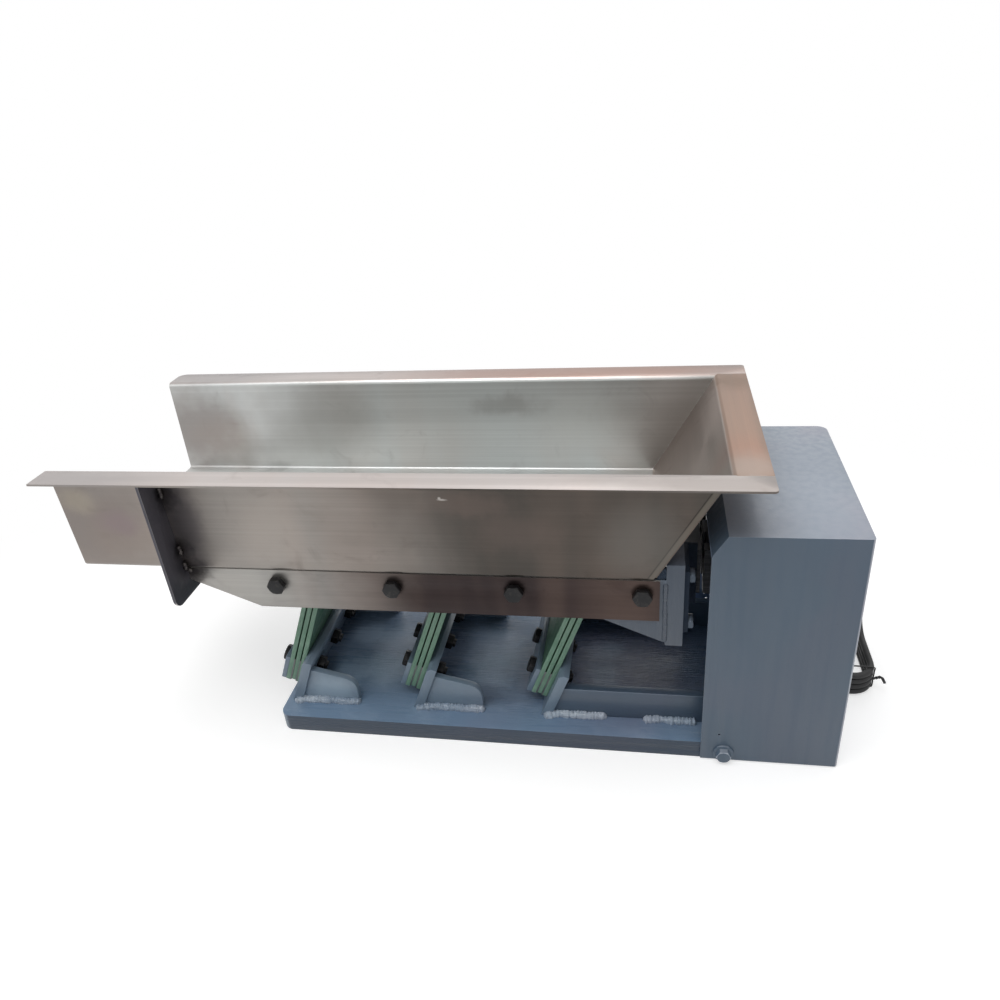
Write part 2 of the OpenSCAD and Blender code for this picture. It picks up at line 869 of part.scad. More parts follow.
// Rounds the flanges' corners at the open end, on the far side
module tip_cuts() {
    translate([trough_x0, flange_half, flange_z - sheet_t - eps])
        linear_extrude(sheet_t + 2 * eps)
            difference() {
                translate([-eps, -tip_r])
                    square([tip_r + eps, tip_r + eps]);
                translate([tip_r, -tip_r])
                    circle(tip_r);
            }
}

// Sloping end wall with its flange, welded between the side walls
module trough_end_wall() {
    inner = end_line(0);
    outer = end_line(sheet_t);
    color("silver")
        intersection() {
            across(2 * flange_half)
                polygon(concat(inner, [for (i = [len(outer) - 1 : -1 : 0]) outer[i]]));
            translate([0, 0, floor_z])
                along(floor_end - 20, trough_end - floor_end + 40)
                    pan_inside();
        }
}

// One plate round the trough near its open end
module front_stiffener() {
    half = flange_half - stiff_inset;
    color("silver")
        along(stiff_back - stiff_t, stiff_t)
            difference() {
                translate([0, floor_z]) {
                    translate([-half, stiff_r - stiff_drop])
                        square([2 * half, trough_h - sheet_t + stiff_drop - stiff_r]);
                    translate([stiff_r - half, -stiff_drop])
                        square([2 * (half - stiff_r), stiff_r + eps]);
                    for (s = [-1, 1])
                        translate([s * (half - stiff_r), stiff_r - stiff_drop])
                            circle(stiff_r);
                }
                translate([0, floor_z])
                    pan_outside();
            }
}

// Strips under the walls that bolt to the frame
module side_skirts() {
    color("silver")
        difference() {
            both_sides()
                translate([0, skirt_face - sheet_t / 2, floor_z])
                    across(sheet_t)
                        polygon([[stiff_back, 0],
                                 [floor_end + skirt_reach, 0],
                                 [floor_end + skirt_reach, -skirt_h],
                                 [stiff_back + skirt_cut_l, -skirt_h],
                                 [stiff_back, skirt_cut_h - skirt_h]]);
            skirt_holes(bolt_d + 2 * bolt_fit);
        }
}

module skirt_bolts() {
    color("black")
        at_skirt_bolts()
            translate([0, 0, skirt_face])
                bolt(bolt_d, bolt_af, head_h, sheet_t + cheek_t);
}

// -------------------------------------------------------------------- cover

// Side outline of the cover, moved in by d, from x0 and z0
module cover_profile(d, x0, z0) {
    k = lip_l / lip_h;
    s = d * sqrt(1 + k * k);              // the sloping lip's shift along X
    top = cover_h - d;
    polygon([[x0, z0],
             [x0, cover_h - lip_h - (s - (x0 - cover_x0)) / k],
             [cover_x0 + lip_l + s - d * k, top],
             [cover_end - d, top],
             [cover_end - d, z0]]);
}

// Plan outline of the cover, moved in by d, from x0 to the end panel
module cover_plan(d, x0) {
    half = cover_half - d;
    l = cover_end - d - x0;
    r_back = cover_r - d;
    r_front = cover_edge_r - d;
    difference() {
        translate([x0, -half])
            square([l, 2 * half]);
        translate([x0 + l - r_back, half - r_back])
            square([r_back + eps, r_back + eps]);
        translate([x0 + l - r_front, -half - eps])
            square([r_front + eps, r_front + eps]);
    }
    translate([x0 + l - r_back, half - r_back])
        circle(r_back);
    translate([x0 + l - r_front, -half + r_front])
        circle(r_front);
}

module cover_body(d, x0, z0) {
    intersection() {
        across(2 * cover_half)
            cover_profile(d, x0, z0);
        translate([0, 0, z0])
            linear_extrude(cover_h)
                cover_plan(d, x0);
    }
}

// Box of bent sheet, open towards the trough and at the foot
module drive_cover() {
    color("slategray")
        difference() {
            cover_body(0, cover_x0, cover_foot);
            cover_body(cover_t, cover_x0 - eps, cover_foot - eps);
            both_sides()
                translate([cover_x0 + cover_bolt_x, cover_half - cover_t - eps, base_t / 2])
                    rotate([-90, 0, 0])
                        cylinder(d = small_d + 2 * bolt_fit, h = cover_t + 2 * eps);
            both_sides()
                translate([cover_x0 + cover_bolt_x - 5, cover_half - cover_t - eps, pilot_z])
                    rotate([-90, 0, 0])
                        cylinder(d = pilot_d, h = cover_t + 2 * eps);
            for (sy = [-1, 1])
                translate([cover_end - cover_t - eps, sy * cover_end_pitch / 2, base_t / 2])
                    rotate([0, 90, 0])
                        cylinder(d = small_d + 2 * bolt_fit, h = cover_t + 2 * eps);
            translate([cover_end - cover_t - eps, gland_y, gland_z])
                rotate([0, 90, 0])
                    cylinder(d = gland_d + thread_fit, h = cover_t + 2 * eps);
        }
}

// Flange bolt: head above 0, shank below
module flange_bolt() {
    cylinder(d = cover_flange_d, h = 1.6);
    translate([0, 0, 1.6])
        hex(small_af, small_head_h);
    translate([0, 0, -cover_t - cover_fit - cover_bolt_l])
        cylinder(d = small_d, h = cover_t + cover_fit + cover_bolt_l);
}

module cover_bolts() {
    color("slategray") {
        both_sides()
            translate([cover_x0 + cover_bolt_x, cover_half, base_t / 2])
                rotate([-90, 0, 0])
                    flange_bolt();
        for (sy = [-1, 1])
            translate([cover_end, sy * cover_end_pitch / 2, base_t / 2])
                rotate([0, 90, 0])
                    flange_bolt();
    }
}

// --------------------------------------------------------------------- cord

// Gland in the end panel: dome nut outside, lock nut inside
module cable_gland() {
    wall = cover_t;
    color("black")
        translate([cover_end, gland_y, gland_z])
            rotate([0, 90, 0]) {
                hex(gland_d + 6, 6);
                translate([0, 0, 6])
                    rotate_extrude()
                        polygon([[0, 0], [gland_d / 2 + 2, 0], [gland_d / 2 + 2, gland_l - 12],
                                 [gland_d / 2, gland_l - 8], [cord_d / 2 + 1.5, gland_l - 6],
                                 [0, gland_l - 6]]);
                translate([0, 0, -wall - 7])
                    cylinder(d = gland_d, h = wall + 7);
                translate([0, 0, -wall - 4.2])
                    hex(gland_d + 5, 4);
            }
}

function unit(v) = v / norm(v);

// Rings of a round tube along a route, each square to the way there
function tube_points(route, r, sides) =
    [for (i = [0 : len(route) - 1])
        let (a = route[max(i - 1, 0)],
             b = route[min(i + 1, len(route) - 1)],
             t = unit(b - a),
             u = unit(cross(t, abs(t.y) > 0.9 ? [1, 0, 0] : [0, 1, 0])),
             w = cross(t, u))
        for (j = [0 : sides - 1])
            route[i] + r * (cos(360 * j / sides) * u + sin(360 * j / sides) * w)];

module tube(route, d, sides = 10) {
    n = len(route);
    sides_of = [for (i = [0 : n - 2], j = [0 : sides - 1])
        [i * sides + j, i * sides + (j + 1) % sides,
         (i + 1) * sides + (j + 1) % sides, (i + 1) * sides + j]];
    polyhedron(tube_points(route, d / 2, sides),
               concat([[for (j = [sides - 1 : -1 : 0]) j]], sides_of,
                      [[for (j = [0 : sides - 1]) (n - 1) * sides + j]]));
}

module cord_lead() {
    color("black")
        tube(lead_route, cord_d);
}

// The folded cord as one block with round ends
module cord_hank() {
    r = (hank_x1 - hank_x0 + cord_d) / 2;
    color("black")
        translate([(hank_x0 + hank_x1) / 2, 0, 0])
            linear_extrude(hank_layers * cord_d) {
                translate([-r, hank_y0])
                    square([2 * r, hank_y1 - hank_y0]);
                for (y = [hank_y0, hank_y1])
                    translate([0, y])
                        circle(r);
            }
}

// Wire tie round the hank
module cord_tie() {
    w = hank_x1 - hank_x0 + cord_d;
    h = hank_layers * cord_d;
    color("black")
        translate([(hank_x0 + hank_x1) / 2, hank_y0 + 12, 0])
            across(3)
                difference() {
                    translate([-w / 2 - 1.2, 0])
                        square([w + 2.4, h + 1.2]);
                    translate([-w / 2, -eps])
                        square([w, h + eps]);
                }
}

module cord_tail() {
    color("black")
        tube(tail_route, cord_d);
}

// Round cable connector on the cord's end
module cord_plug() {
    color("black")
        translate(tail_route[len(tail_route) - 1])
            rotate([-90, 0, 0])
                rotate_extrude()
                    polygon([[0, 0], [5.5, 0], [6.5, 10], [8, 12], [8, 16], [9, 17], [9, 27],
                             [8, 28], [8, 38], [6.5, 38], [6.5, 32], [0, 32]]);
}

base_plate();
lower_seats();
lower_gussets();
base_ribs();
base_welds();
lower_clamp_plates();
lower_spacers();
lower_clamp_bolts();
lower_clamp_nuts();
leaf_stack_front();
leaf_stack_middle();
leaf_stack_rear();
upper_seats();
upper_clamp_plates();
upper_spacers();
upper_clamp_bolts();
upper_clamp_nuts();
frame_cheeks();
armature_plate();
armature_core();
armature_angles();
armature_bolts();
magnet_bracket();
magnet_gussets();
magnet_core();
magnet_coil();
magnet_angles();
magnet_bolts();
trough_pan();
trough_end_wall();
front_stiffener();
side_skirts();
skirt_bolts();
drive_cover();
cover_bolts();
cable_gland();
cord_lead();
cord_hank();
cord_tie();
cord_tail();
cord_plug();
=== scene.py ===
"""Looks of a linear vibratory feeder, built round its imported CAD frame.

Each sub-assembly is a class that holds its own sizes and dresses its own pieces. The finishes are
frozen dataclasses that build procedural materials in Object coordinates. The weld beads come from
Geometry Nodes and are turned into plain meshes. Sizes are in metres.
"""

import logging
import math
from dataclasses import dataclass, field
from enum import Enum
from typing import Callable, Iterable, Sequence

import bmesh
import bpy
from mathutils import Matrix, Vector


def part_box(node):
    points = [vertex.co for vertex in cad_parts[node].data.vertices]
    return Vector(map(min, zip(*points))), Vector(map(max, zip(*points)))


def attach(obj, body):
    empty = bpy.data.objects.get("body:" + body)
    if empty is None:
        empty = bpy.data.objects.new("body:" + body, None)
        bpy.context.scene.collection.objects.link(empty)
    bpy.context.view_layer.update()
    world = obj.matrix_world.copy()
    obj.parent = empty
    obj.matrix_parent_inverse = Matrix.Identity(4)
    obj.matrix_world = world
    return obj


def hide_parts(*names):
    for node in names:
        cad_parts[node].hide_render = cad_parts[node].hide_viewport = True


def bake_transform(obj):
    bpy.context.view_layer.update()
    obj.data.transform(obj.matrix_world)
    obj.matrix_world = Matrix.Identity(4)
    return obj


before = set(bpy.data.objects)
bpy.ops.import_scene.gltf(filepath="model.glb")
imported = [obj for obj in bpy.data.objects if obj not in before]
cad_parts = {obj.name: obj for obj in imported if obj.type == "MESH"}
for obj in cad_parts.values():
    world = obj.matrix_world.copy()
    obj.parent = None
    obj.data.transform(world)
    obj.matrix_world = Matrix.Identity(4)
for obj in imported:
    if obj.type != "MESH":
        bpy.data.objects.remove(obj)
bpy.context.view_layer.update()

LOG = logging.getLogger("feeder")
Rgb = tuple[float, float, float]
BASE_TOP = 0.020
SEAT_PLACES = (-0.281, -0.1415, -0.002)
LEAN = math.radians(21.5)
UP_LEAF = Vector((math.sin(LEAN), 0.0, math.cos(LEAN)))
OFF_LEAF = Vector((math.cos(LEAN), 0.0, -math.sin(LEAN)))
MERGE = 2e-6
LEVEL_ANGLE = math.radians(0.6)
AT_CORNER = 1e-4


class Body(str, Enum):
    """The rigid bodies that pieces ride on."""

    BASE = "base"
    TROUGH = "trough"


class Axis(Enum):
    """The direction that a grain or a brush mark runs in, by its place in a vector."""

    X = 0
    Y = 1
    Z = 2


def srgb(r: float, g: float, b: float) -> Rgb:
    """Turns 0 to 255 display values into linear ones.

    Args:
        r: Red as a screen shows it.
        g: Green as a screen shows it.
        b: Blue as a screen shows it.

    Returns:
        The same colour in linear light.
    """

    def one(v: float) -> float:
        """Linear value of one channel."""
        v /= 255.0
        return v / 12.92 if v <= 0.04045 else ((v + 0.055) / 1.055) ** 2.4

    return one(r), one(g), one(b)


# ------------------------------------------------------------------ materials


@dataclass(frozen=True)
class Mark:
    """A soft mark on a surface, at a place on both sides of the middle: a stain, heat tint, rub, painted
    shade or painted highlight.

    With mirrored off it is on its own side only; inside is how much of it inward faces show.
    """

    place: tuple[float, float, float]
    reach: tuple[float, float, float]
    tone: Rgb
    share: float = 0.7
    ragged: float = 1.0
    grain: float = 90.0
    mirrored: bool = True
    inside: float = 0.15


@dataclass(frozen=True)
class Strip:
    """A straight band along a slanted edge in the XZ plane.

    On outward faces it is parted off by a dark line; a soft one fades in, on inward faces only.
    """

    start: tuple[float, float]
    outward: tuple[float, float]
    width: float
    tone: Rgb
    share: float = 0.7
    soft: bool = False


def grained(axis: Axis, across: float, along: float) -> list[float]:
    """Scale of a pattern drawn out along one axis.

    Args:
        axis: The direction of the grain.
        across: Features for each metre across it.
        along: Features for each metre along it.

    Returns:
        One factor for each axis.
    """
    scale = [across] * 3
    scale[axis.value] = along
    return scale


class Shade:
    """Builds one material's node tree, a node at a time."""

    def __init__(self, name: str) -> None:
        """Starts an empty material.

        Args:
            name: The finish's name.
        """
        self.material = bpy.data.materials.new(name)
        self.material.use_nodes = True
        self.tree = self.material.node_tree
        self.tree.nodes.clear()
        self.out = self.node("ShaderNodeOutputMaterial")
        self.bsdf = self.node("ShaderNodeBsdfPrincipled")
        self.link(self.bsdf.outputs["BSDF"], self.out.inputs["Surface"])
        self.coords = self.node("ShaderNodeTexCoord").outputs["Object"]

    def node(self, kind: str, **settings: object) -> bpy.types.Node:
        """Adds a node.

        Args:
            kind: Blender's name of the node type.
            **settings: Properties to set on it.

        Returns:
            The new node.
        """
        made = self.tree.nodes.new(kind)
        for key, value in settings.items():
            setattr(made, key, value)
        return made

    def link(self, source: bpy.types.NodeSocket, target: bpy.types.NodeSocket) -> None:
        """Joins two sockets."""
        self.tree.links.new(source, target)

    def feed(self, socket: bpy.types.NodeSocket, value: object) -> None:
        """Sets a socket to a number, a colour or another socket.

        Args:
            socket: The input to set.
            value: What goes into it.
        """
        if isinstance(value, bpy.types.NodeSocket):
            self.link(value, socket)
        elif isinstance(value, tuple) and len(value) == 3 and socket.type == "RGBA":
            socket.default_value = (*value, 1.0)
        else:
            socket.default_value = value

    def stretched(
        self, scale: Sequence[float], turn: Sequence[float] = (0, 0, 0)
    ) -> bpy.types.NodeSocket:
        """Object coordinates turned and scaled per axis.

        Args:
            scale: One factor for each axis, after the turn.
            turn: Euler angles in radians, applied first.

        Returns:
            The coordinates' socket.
        """
        turned = self.node("ShaderNodeMapping", vector_type="POINT")
        turned.inputs["Rotation"].default_value = tuple(turn)
        self.link(self.coords, turned.inputs["Vector"])
        scaled = self.node("ShaderNodeMapping", vector_type="POINT")
        scaled.inputs["Scale"].default_value = tuple(scale)
        self.link(turned.outputs["Vector"], scaled.inputs["Vector"])
        return scaled.outputs["Vector"]

    def noise(
        self,
        vector: bpy.types.NodeSocket,
        scale: float,
        detail: float = 3.0,
        roughness: float = 0.5,
        distortion: float = 0.0,
    ) -> bpy.types.NodeSocket:
        """Noise from 0 to 1 at a place.

        Args:
            vector: Where it is read.
            scale: Features for each metre, more or less.
            detail: Octaves of finer noise.
            roughness: Strength of the finer octaves.
            distortion: How far the pattern is swirled.

        Returns:
            The noise's value.
        """
        made = self.node("ShaderNodeTexNoise", noise_dimensions="3D")
        self.link(vector, made.inputs["Vector"])
        made.inputs["Scale"].default_value = scale
        made.inputs["Detail"].default_value = detail
        made.inputs["Roughness"].default_value = roughness
        made.inputs["Distortion"].default_value = distortion
        return made.outputs["Fac"]

    def ramp(
        self, value: object, low: float, high: float, to_low: float = 0.0, to_high: float = 1.0
    ) -> bpy.types.NodeSocket:
        """Maps a value's range onto another, clamped and smoothed.

        Args:
            value: The value to map.
            low: Start of its range.
            high: End of its range.
            to_low: What low becomes.
            to_high: What high becomes.

        Returns:
            The mapped value.
        """
        made = self.node("ShaderNodeMapRange", interpolation_type="SMOOTHSTEP")
        self.feed(made.inputs["Value"], value)
        made.inputs["From Min"].default_value = low
        made.inputs["From Max"].default_value = high
        made.inputs["To Min"].default_value = to_low
        made.inputs["To Max"].default_value = to_high
        return made.outputs["Result"]

    def math(self, kind: str, a: object, b: object = 0.0) -> bpy.types.NodeSocket:
        """One arithmetic step.

        Args:
            kind: The operation's name.
            a: First value.
            b: Second value.

        Returns:
            The result.
        """
        made = self.node("ShaderNodeMath", operation=kind)
        self.feed(made.inputs[0], a)
        self.feed(made.inputs[1], b)
        return made.outputs[0]

    def mix(self, factor: object, a: object, b: object, blend: str = "MIX") -> bpy.types.NodeSocket:
        """Mixes two colours.

        Args:
            factor: Share of the second.
            a: First colour.
            b: Second colour.
            blend: Blender's name of the way they mix.

        Returns:
            The mixed colour.
        """
        made = self.node("ShaderNodeMix", data_type="RGBA", blend_type=blend, clamp_factor=True)
        self.feed(made.inputs[0], factor)
        self.feed(made.inputs[6], a)
        self.feed(made.inputs[7], b)
        return made.outputs[2]

    def axis(self, name: str) -> bpy.types.NodeSocket:
        """One object coordinate.

        Args:
            name: "X", "Y" or "Z".

        Returns:
            Its value in metres.
        """
        made = self.node("ShaderNodeSeparateXYZ")
        self.link(self.coords, made.inputs[0])
        return made.outputs[name]

    def facing(self, name: str) -> bpy.types.NodeSocket:
        """How far the surface faces along an axis of the object, from -1 to 1.

        Args:
            name: "X", "Y" or "Z".

        Returns:
            The normal's part along that axis.
        """
        made = self.node("ShaderNodeSeparateXYZ")
        self.link(self.node("ShaderNodeTexCoord").outputs["Normal"], made.inputs[0])
        return made.outputs[name]

    def rims(self, low: float) -> bpy.types.NodeSocket:
        """Picks the rounded rims of upright sides, which face partly along Y.

        Args:
            low: Where they start to count.

        Returns:
            0 on flat faces, up to 1 on rims.
        """
        side = self.math("ABSOLUTE", self.facing("Y"))
        rest = self.math("SUBTRACT", 1.0, self.math("MULTIPLY", side, side))
        turn = self.math("SQRT", self.math("MAXIMUM", rest, 0.0))
        return self.ramp(self.math("MULTIPLY", side, turn), low, 0.45)

    def bump(
        self, height: bpy.types.NodeSocket, depth: float, strength: float = 1.0, after: object = None
    ) -> bpy.types.NodeSocket:
        """A bumped normal.

        Args:
            height: Height from 0 to 1.
            depth: Metres from 0 to 1.
            strength: Share of the bump's effect.
            after: Another bump's normal to build on.

        Returns:
            The normal.
        """
        made = self.node("ShaderNodeBump")
        made.inputs["Strength"].default_value = strength
        made.inputs["Distance"].default_value = depth
        self.link(height, made.inputs["Height"])
        if after is not None:
            self.link(after, made.inputs["Normal"])
        return made.outputs["Normal"]

    def mark(self, tone: object, spot: Mark, shown: object = 1.0) -> bpy.types.NodeSocket:
        """Lays a soft mark over a colour.

        Args:
            tone: The colour under it.
            spot: The mark.
            shown: How much of it shows.

        Returns:
            The colour with the mark.
        """
        split = self.node("ShaderNodeSeparateXYZ")
        self.link(self.coords, split.inputs[0])
        x, y, z = spot.place
        joined = self.node("ShaderNodeCombineXYZ")
        across = self.math("ABSOLUTE", split.outputs["Y"]) if spot.mirrored else split.outputs["Y"]
        parts = ((split.outputs["X"], x, 0), (across, y, 1), (split.outputs["Z"], z, 2))
        for socket, middle, index in parts:
            away = self.math("DIVIDE", self.math("SUBTRACT", socket, middle), spot.reach[index])
            self.link(away, joined.inputs[index])
        length = self.node("ShaderNodeVectorMath", operation="LENGTH")
        self.link(joined.outputs[0], length.inputs[0])
        rough = self.math("SUBTRACT", self.noise(self.coords, spot.grain, 3.0, 0.6), 0.5)
        distance = self.math("ADD", length.outputs["Value"], self.math("MULTIPLY", rough, spot.ragged))
        amount = self.math("MULTIPLY", self.ramp(distance, 0.2, 1.0, spot.share, 0.0), shown)
        return self.mix(amount, tone, spot.tone)

    def band(self, tone: object, strip: Strip, shown: object = 1.0) -> bpy.types.NodeSocket:
        """Lays a strip over a colour.

        Args:
            tone: The colour under it.
            strip: The strip.
            shown: How much of it shows.

        Returns:
            The colour with the strip.
        """
        (x, z), (nx, nz) = strip.start, strip.outward
        a = self.math("MULTIPLY", self.math("SUBTRACT", self.axis("X"), x), nx)
        b = self.math("MULTIPLY", self.math("SUBTRACT", self.axis("Z"), z), nz)
        reach = self.math("ADD", a, b)
        lit = self.ramp(reach, -strip.width, 0.0 if strip.soft else -strip.width * 0.75, 0.0, strip.share)
        tone = self.mix(self.math("MULTIPLY", lit, shown), tone, strip.tone)
        if strip.soft:
            return tone
        off = self.math("ABSOLUTE", self.math("ADD", reach, strip.width * 1.05))
        line = self.math("MULTIPLY", self.ramp(off, 0.0002, 0.0009, 0.65, 0.0), shown)
        return self.mix(line, tone, srgb(34, 32, 30))

    def set(self, **sockets: object) -> None:
        """Sets inputs of the surface shader; underscores stand for spaces.

        Args:
            **sockets: Values by input name.
        """
        for key, value in sockets.items():
            self.feed(self.bsdf.inputs[key.replace("_", " ")], value)


@dataclass(frozen=True)
class Enamel:
    """Hand-brushed machine enamel.

    Brush marks run along one axis, as strong as marks says, between the two tones colour and pale.
    Level faces take the level tone, painted light from above, and glossy patches with a painted sheen.
    Rims are painted lighter, a painted highlight. Spots lie on level faces and standing ones on upright
    faces; here they are painted sheen, painted shade and a painted highlight. Inside a cover, in the box
    given by its highest X, half its width and its highest Z, the coat is painted paler: painted light in
    the cover's shade.
    """

    name: str
    colour: Rgb
    pale: Rgb
    along: Axis = Axis.X
    marks: float = 0.5
    roughness: float = 0.34
    # Share of the glossy patches' painted sheen on level faces.
    painted_light_pools: float = 0.0
    # Tone of level faces and its share: painted light from above.
    level: Rgb = srgb(150, 156, 166)
    top_light_share: float = 0.0
    # Colour and share of the painted highlight on rims; rub is that share.
    rim_highlight: Rgb = srgb(150, 166, 184)
    rub: float = 0.55
    gloss: float = 0.5
    coat: float = 0.22
    spots: tuple[Mark, ...] = ()
    standing: tuple[Mark, ...] = ()
    # Box inside a cover where the coat is painted paler: painted light in the cover's shade.
    inside_light_box: tuple[float, float, float] | None = None

    def build(self) -> bpy.types.Material:
        """Builds the material.

        Returns:
            The finished material.
        """
        s = Shade(self.name)
        run = grained(self.along, 700.0, 40.0)
        streaks = s.noise(s.stretched(run), 1.0, 4.0, 0.6, 0.4)
        wide = s.noise(s.stretched([v / 5 for v in run]), 1.0, 2.0, 0.5)
        clouds = s.noise(s.coords, 8.0, 3.0, 0.5, 0.4)
        level = s.ramp(s.facing("Z"), 0.7, 0.95)
        tone = s.mix(s.ramp(clouds, 0.38, 0.72, 0.0, 0.4), self.colour, self.pale)
        tone = s.mix(s.ramp(streaks, 0.45, 0.75, 0.0, 0.25 * self.marks), tone, self.pale)
        # Painted light: level faces take a lighter tone, as if lit from above.
        tone = s.mix(s.math("MULTIPLY", level, self.top_light_share), tone, self.level)
        # Painted sheen: glossy patches on level faces are lighter, with lower roughness.
        sheen_pool = s.math("MULTIPLY", s.ramp(s.noise(s.coords, 15.0, 3.0, 0.6, 1.0), 0.45, 0.72), level)
        tone = s.mix(s.math("MULTIPLY", sheen_pool, self.painted_light_pools), tone, srgb(150, 170, 192))
        # Spots and standing marks: painted sheen, painted shade and a painted highlight where used here.
        for spot in self.spots:
            tone = s.mark(tone, spot, level)
        for spot in self.standing:
            tone = s.mark(tone, spot)
        # Painted highlight: rims are lighter, as if they catch the light.
        tone = s.mix(s.math("MULTIPLY", s.rims(0.2), self.rub), tone, self.rim_highlight)
        # Painted light: inside the cover, faces that don't face up are painted paler where shade falls.
        if self.inside_light_box is not None:
            x, y, z = self.inside_light_box
            across = s.math("DIVIDE", s.math("ABSOLUTE", s.axis("Y")), y)
            along = s.math("MAXIMUM", s.math("DIVIDE", s.axis("X"), x), s.math("DIVIDE", s.axis("Z"), z))
            inner = s.math("LESS_THAN", s.math("MAXIMUM", across, along), 1.0)
            under = s.ramp(s.facing("Z"), 0.1, 0.3, 1.0, 0.0)
            tone = s.mix(s.math("MULTIPLY", inner, under), tone, srgb(152, 172, 200))
        haze = s.ramp(s.noise(s.coords, 7.0, 2.0, 0.5, 1.0), 0.4, 0.65)
        tone = s.mix(haze, tone, (1.09, 1.0, 1.0), "MULTIPLY")
        specks = s.noise(s.coords, 420.0, 2.0, 0.6)
        tone = s.mix(s.ramp(specks, 0.72, 0.8, 0.0, 0.3), tone, tuple(v * 0.5 for v in self.colour))
        rough = s.math("ADD", self.roughness, s.ramp(wide, 0.3, 0.75, -0.08, 0.14))
        rough = s.math("SUBTRACT", rough, s.math("MULTIPLY", sheen_pool, 0.2 * min(self.painted_light_pools * 2, 1.0)))
        flow = s.bump(streaks, 0.0006 * self.marks, 1.0)
        peel = s.bump(s.noise(s.coords, 160.0, 2.0, 0.5), 0.0002, 0.5, flow)
        s.set(Base_Color=tone, Roughness=rough, Normal=peel, Specular_IOR_Level=self.gloss)
        s.set(Coat_Weight=self.coat, Coat_Roughness=0.16)
        return s.material


@dataclass(frozen=True)
class Sheet:
    """Brushed stainless sheet: grain along one axis, rub marks, smears and heat colour.

    Its tone differs on its flanges (level), on faces turned inwards and on faces turned outwards:
    painted light and painted reflection, by how each face meets the light. The outward tone darkens
    along X between two places, a painted dark reflection. Rims are painted lighter, a painted highlight.
    The floor, below the flanges' height, is duller.
    """

    name: str
    # Tones by facing: painted light and painted reflection.
    level: Rgb = srgb(185, 178, 175)
    inner: Rgb = srgb(198, 197, 192)
    outer: Rgb = srgb(154, 148, 142)
    # Painted dark reflection on outward faces, along X between two places.
    dark_reflection: Rgb = srgb(90, 85, 80)
    warm: Rgb = srgb(176, 148, 132)
    grain: Axis = Axis.X
    reflection_from: float = -0.24
    reflection_to: float = -0.03
    flange_height: float = 0.29
    roughness: float = 0.36
    metallic: float = 0.85
    warmth: float = 0.25
    # Share of the painted highlight on rims.
    rub: float = 0.0
    marks: tuple[Mark, ...] = ()
    strips: tuple[Strip, ...] = ()

    def build(self) -> bpy.types.Material:
        """Builds the material.

        Returns:
            The finished material.
        """
        s = Shade(self.name)
        run = grained(self.grain, 2400.0, 9.0)
        fine = s.noise(s.stretched(run), 1.0, 3.0, 0.6)
        coarse = s.noise(s.stretched([v / 9 for v in run]), 1.0, 3.0, 0.55)
        columns = s.noise(s.stretched((16.0, 2.0, 2.5)), 1.0, 2.0, 0.5, 0.3)
        clouds = s.noise(s.coords, 6.0, 3.0, 0.55, 0.8)
        smears = s.noise(s.coords, 22.0, 4.0, 0.6, 1.2)
        along = s.math("ADD", s.axis("X"), s.math("MULTIPLY", s.math("SUBTRACT", clouds, 0.5), 0.12))
        # Painted light and reflection: outward faces darken along X; inward faces and flanges take lighter
        # tones.
        outside = s.mix(s.ramp(along, self.reflection_from, self.reflection_to), self.outer, self.dark_reflection)
        turned = s.math("MULTIPLY", s.math("SIGN", s.axis("Y")), s.facing("Y"))
        tone = s.mix(s.ramp(turned, -0.2, 0.4), self.inner, outside)
        flat = s.ramp(s.math("ABSOLUTE", s.facing("Z")), 0.6, 0.9)
        high = s.math("GREATER_THAN", s.axis("Z"), self.flange_height)
        tone = s.mix(s.math("MULTIPLY", flat, high), tone, self.level)
        tone = s.mix(s.ramp(columns, 0.35, 0.7, 0.0, 0.22), tone, s.mix(0.5, tone, self.warm))
        tints = s.noise(s.coords, 4.3, 2.0, 0.5, 0.6)
        tone = s.mix(s.ramp(tints, 0.5, 0.75, 0.0, self.warmth), tone, self.warm)
        tone = s.mix(s.ramp(coarse, 0.35, 0.75, 0.0, 1.0), tone, (1.1, 1.1, 1.1), "MULTIPLY")
        tone = s.mix(s.ramp(smears, 0.55, 0.8, 0.0, 1.0), tone, (0.86, 0.85, 0.85), "MULTIPLY")
        tone = s.mix(s.ramp(fine, 0.35, 0.7, 0.0, 1.0), tone, (1.06, 1.06, 1.06), "MULTIPLY")
        for strip in self.strips:
            seen = s.ramp(turned, -0.6, -0.2, 1.0, 0.0) if strip.soft else s.ramp(turned, 0.5, 0.8)
            tone = s.band(tone, strip, seen)
        for spot in self.marks:
            tone = s.mark(tone, spot, s.ramp(turned, -0.2, 0.3, spot.inside, 1.0))
        # Painted highlight: rims are lighter, as if they catch the light.
        tone = s.mix(s.math("MULTIPLY", s.rims(0.25), self.rub), tone, srgb(214, 210, 206))
        rough = s.math("ADD", self.roughness, s.ramp(coarse, 0.3, 0.75, -0.01, 0.03))
        rough = s.math("ADD", rough, s.ramp(smears, 0.55, 0.8, 0.0, 0.1))
        floor = s.math("MULTIPLY", flat, s.math("SUBTRACT", 1.0, high))
        rough = s.math("ADD", rough, s.math("MULTIPLY", floor, 0.3))
        rub = s.bump(fine, 0.00004, 0.6)
        wave = s.bump(s.noise(s.coords, 11.0, 1.0, 0.5), 0.0010, 0.3, rub)
        s.set(Base_Color=tone, Roughness=rough, Normal=wave, Metallic=self.metallic, Anisotropic=0.4)
        return s.material


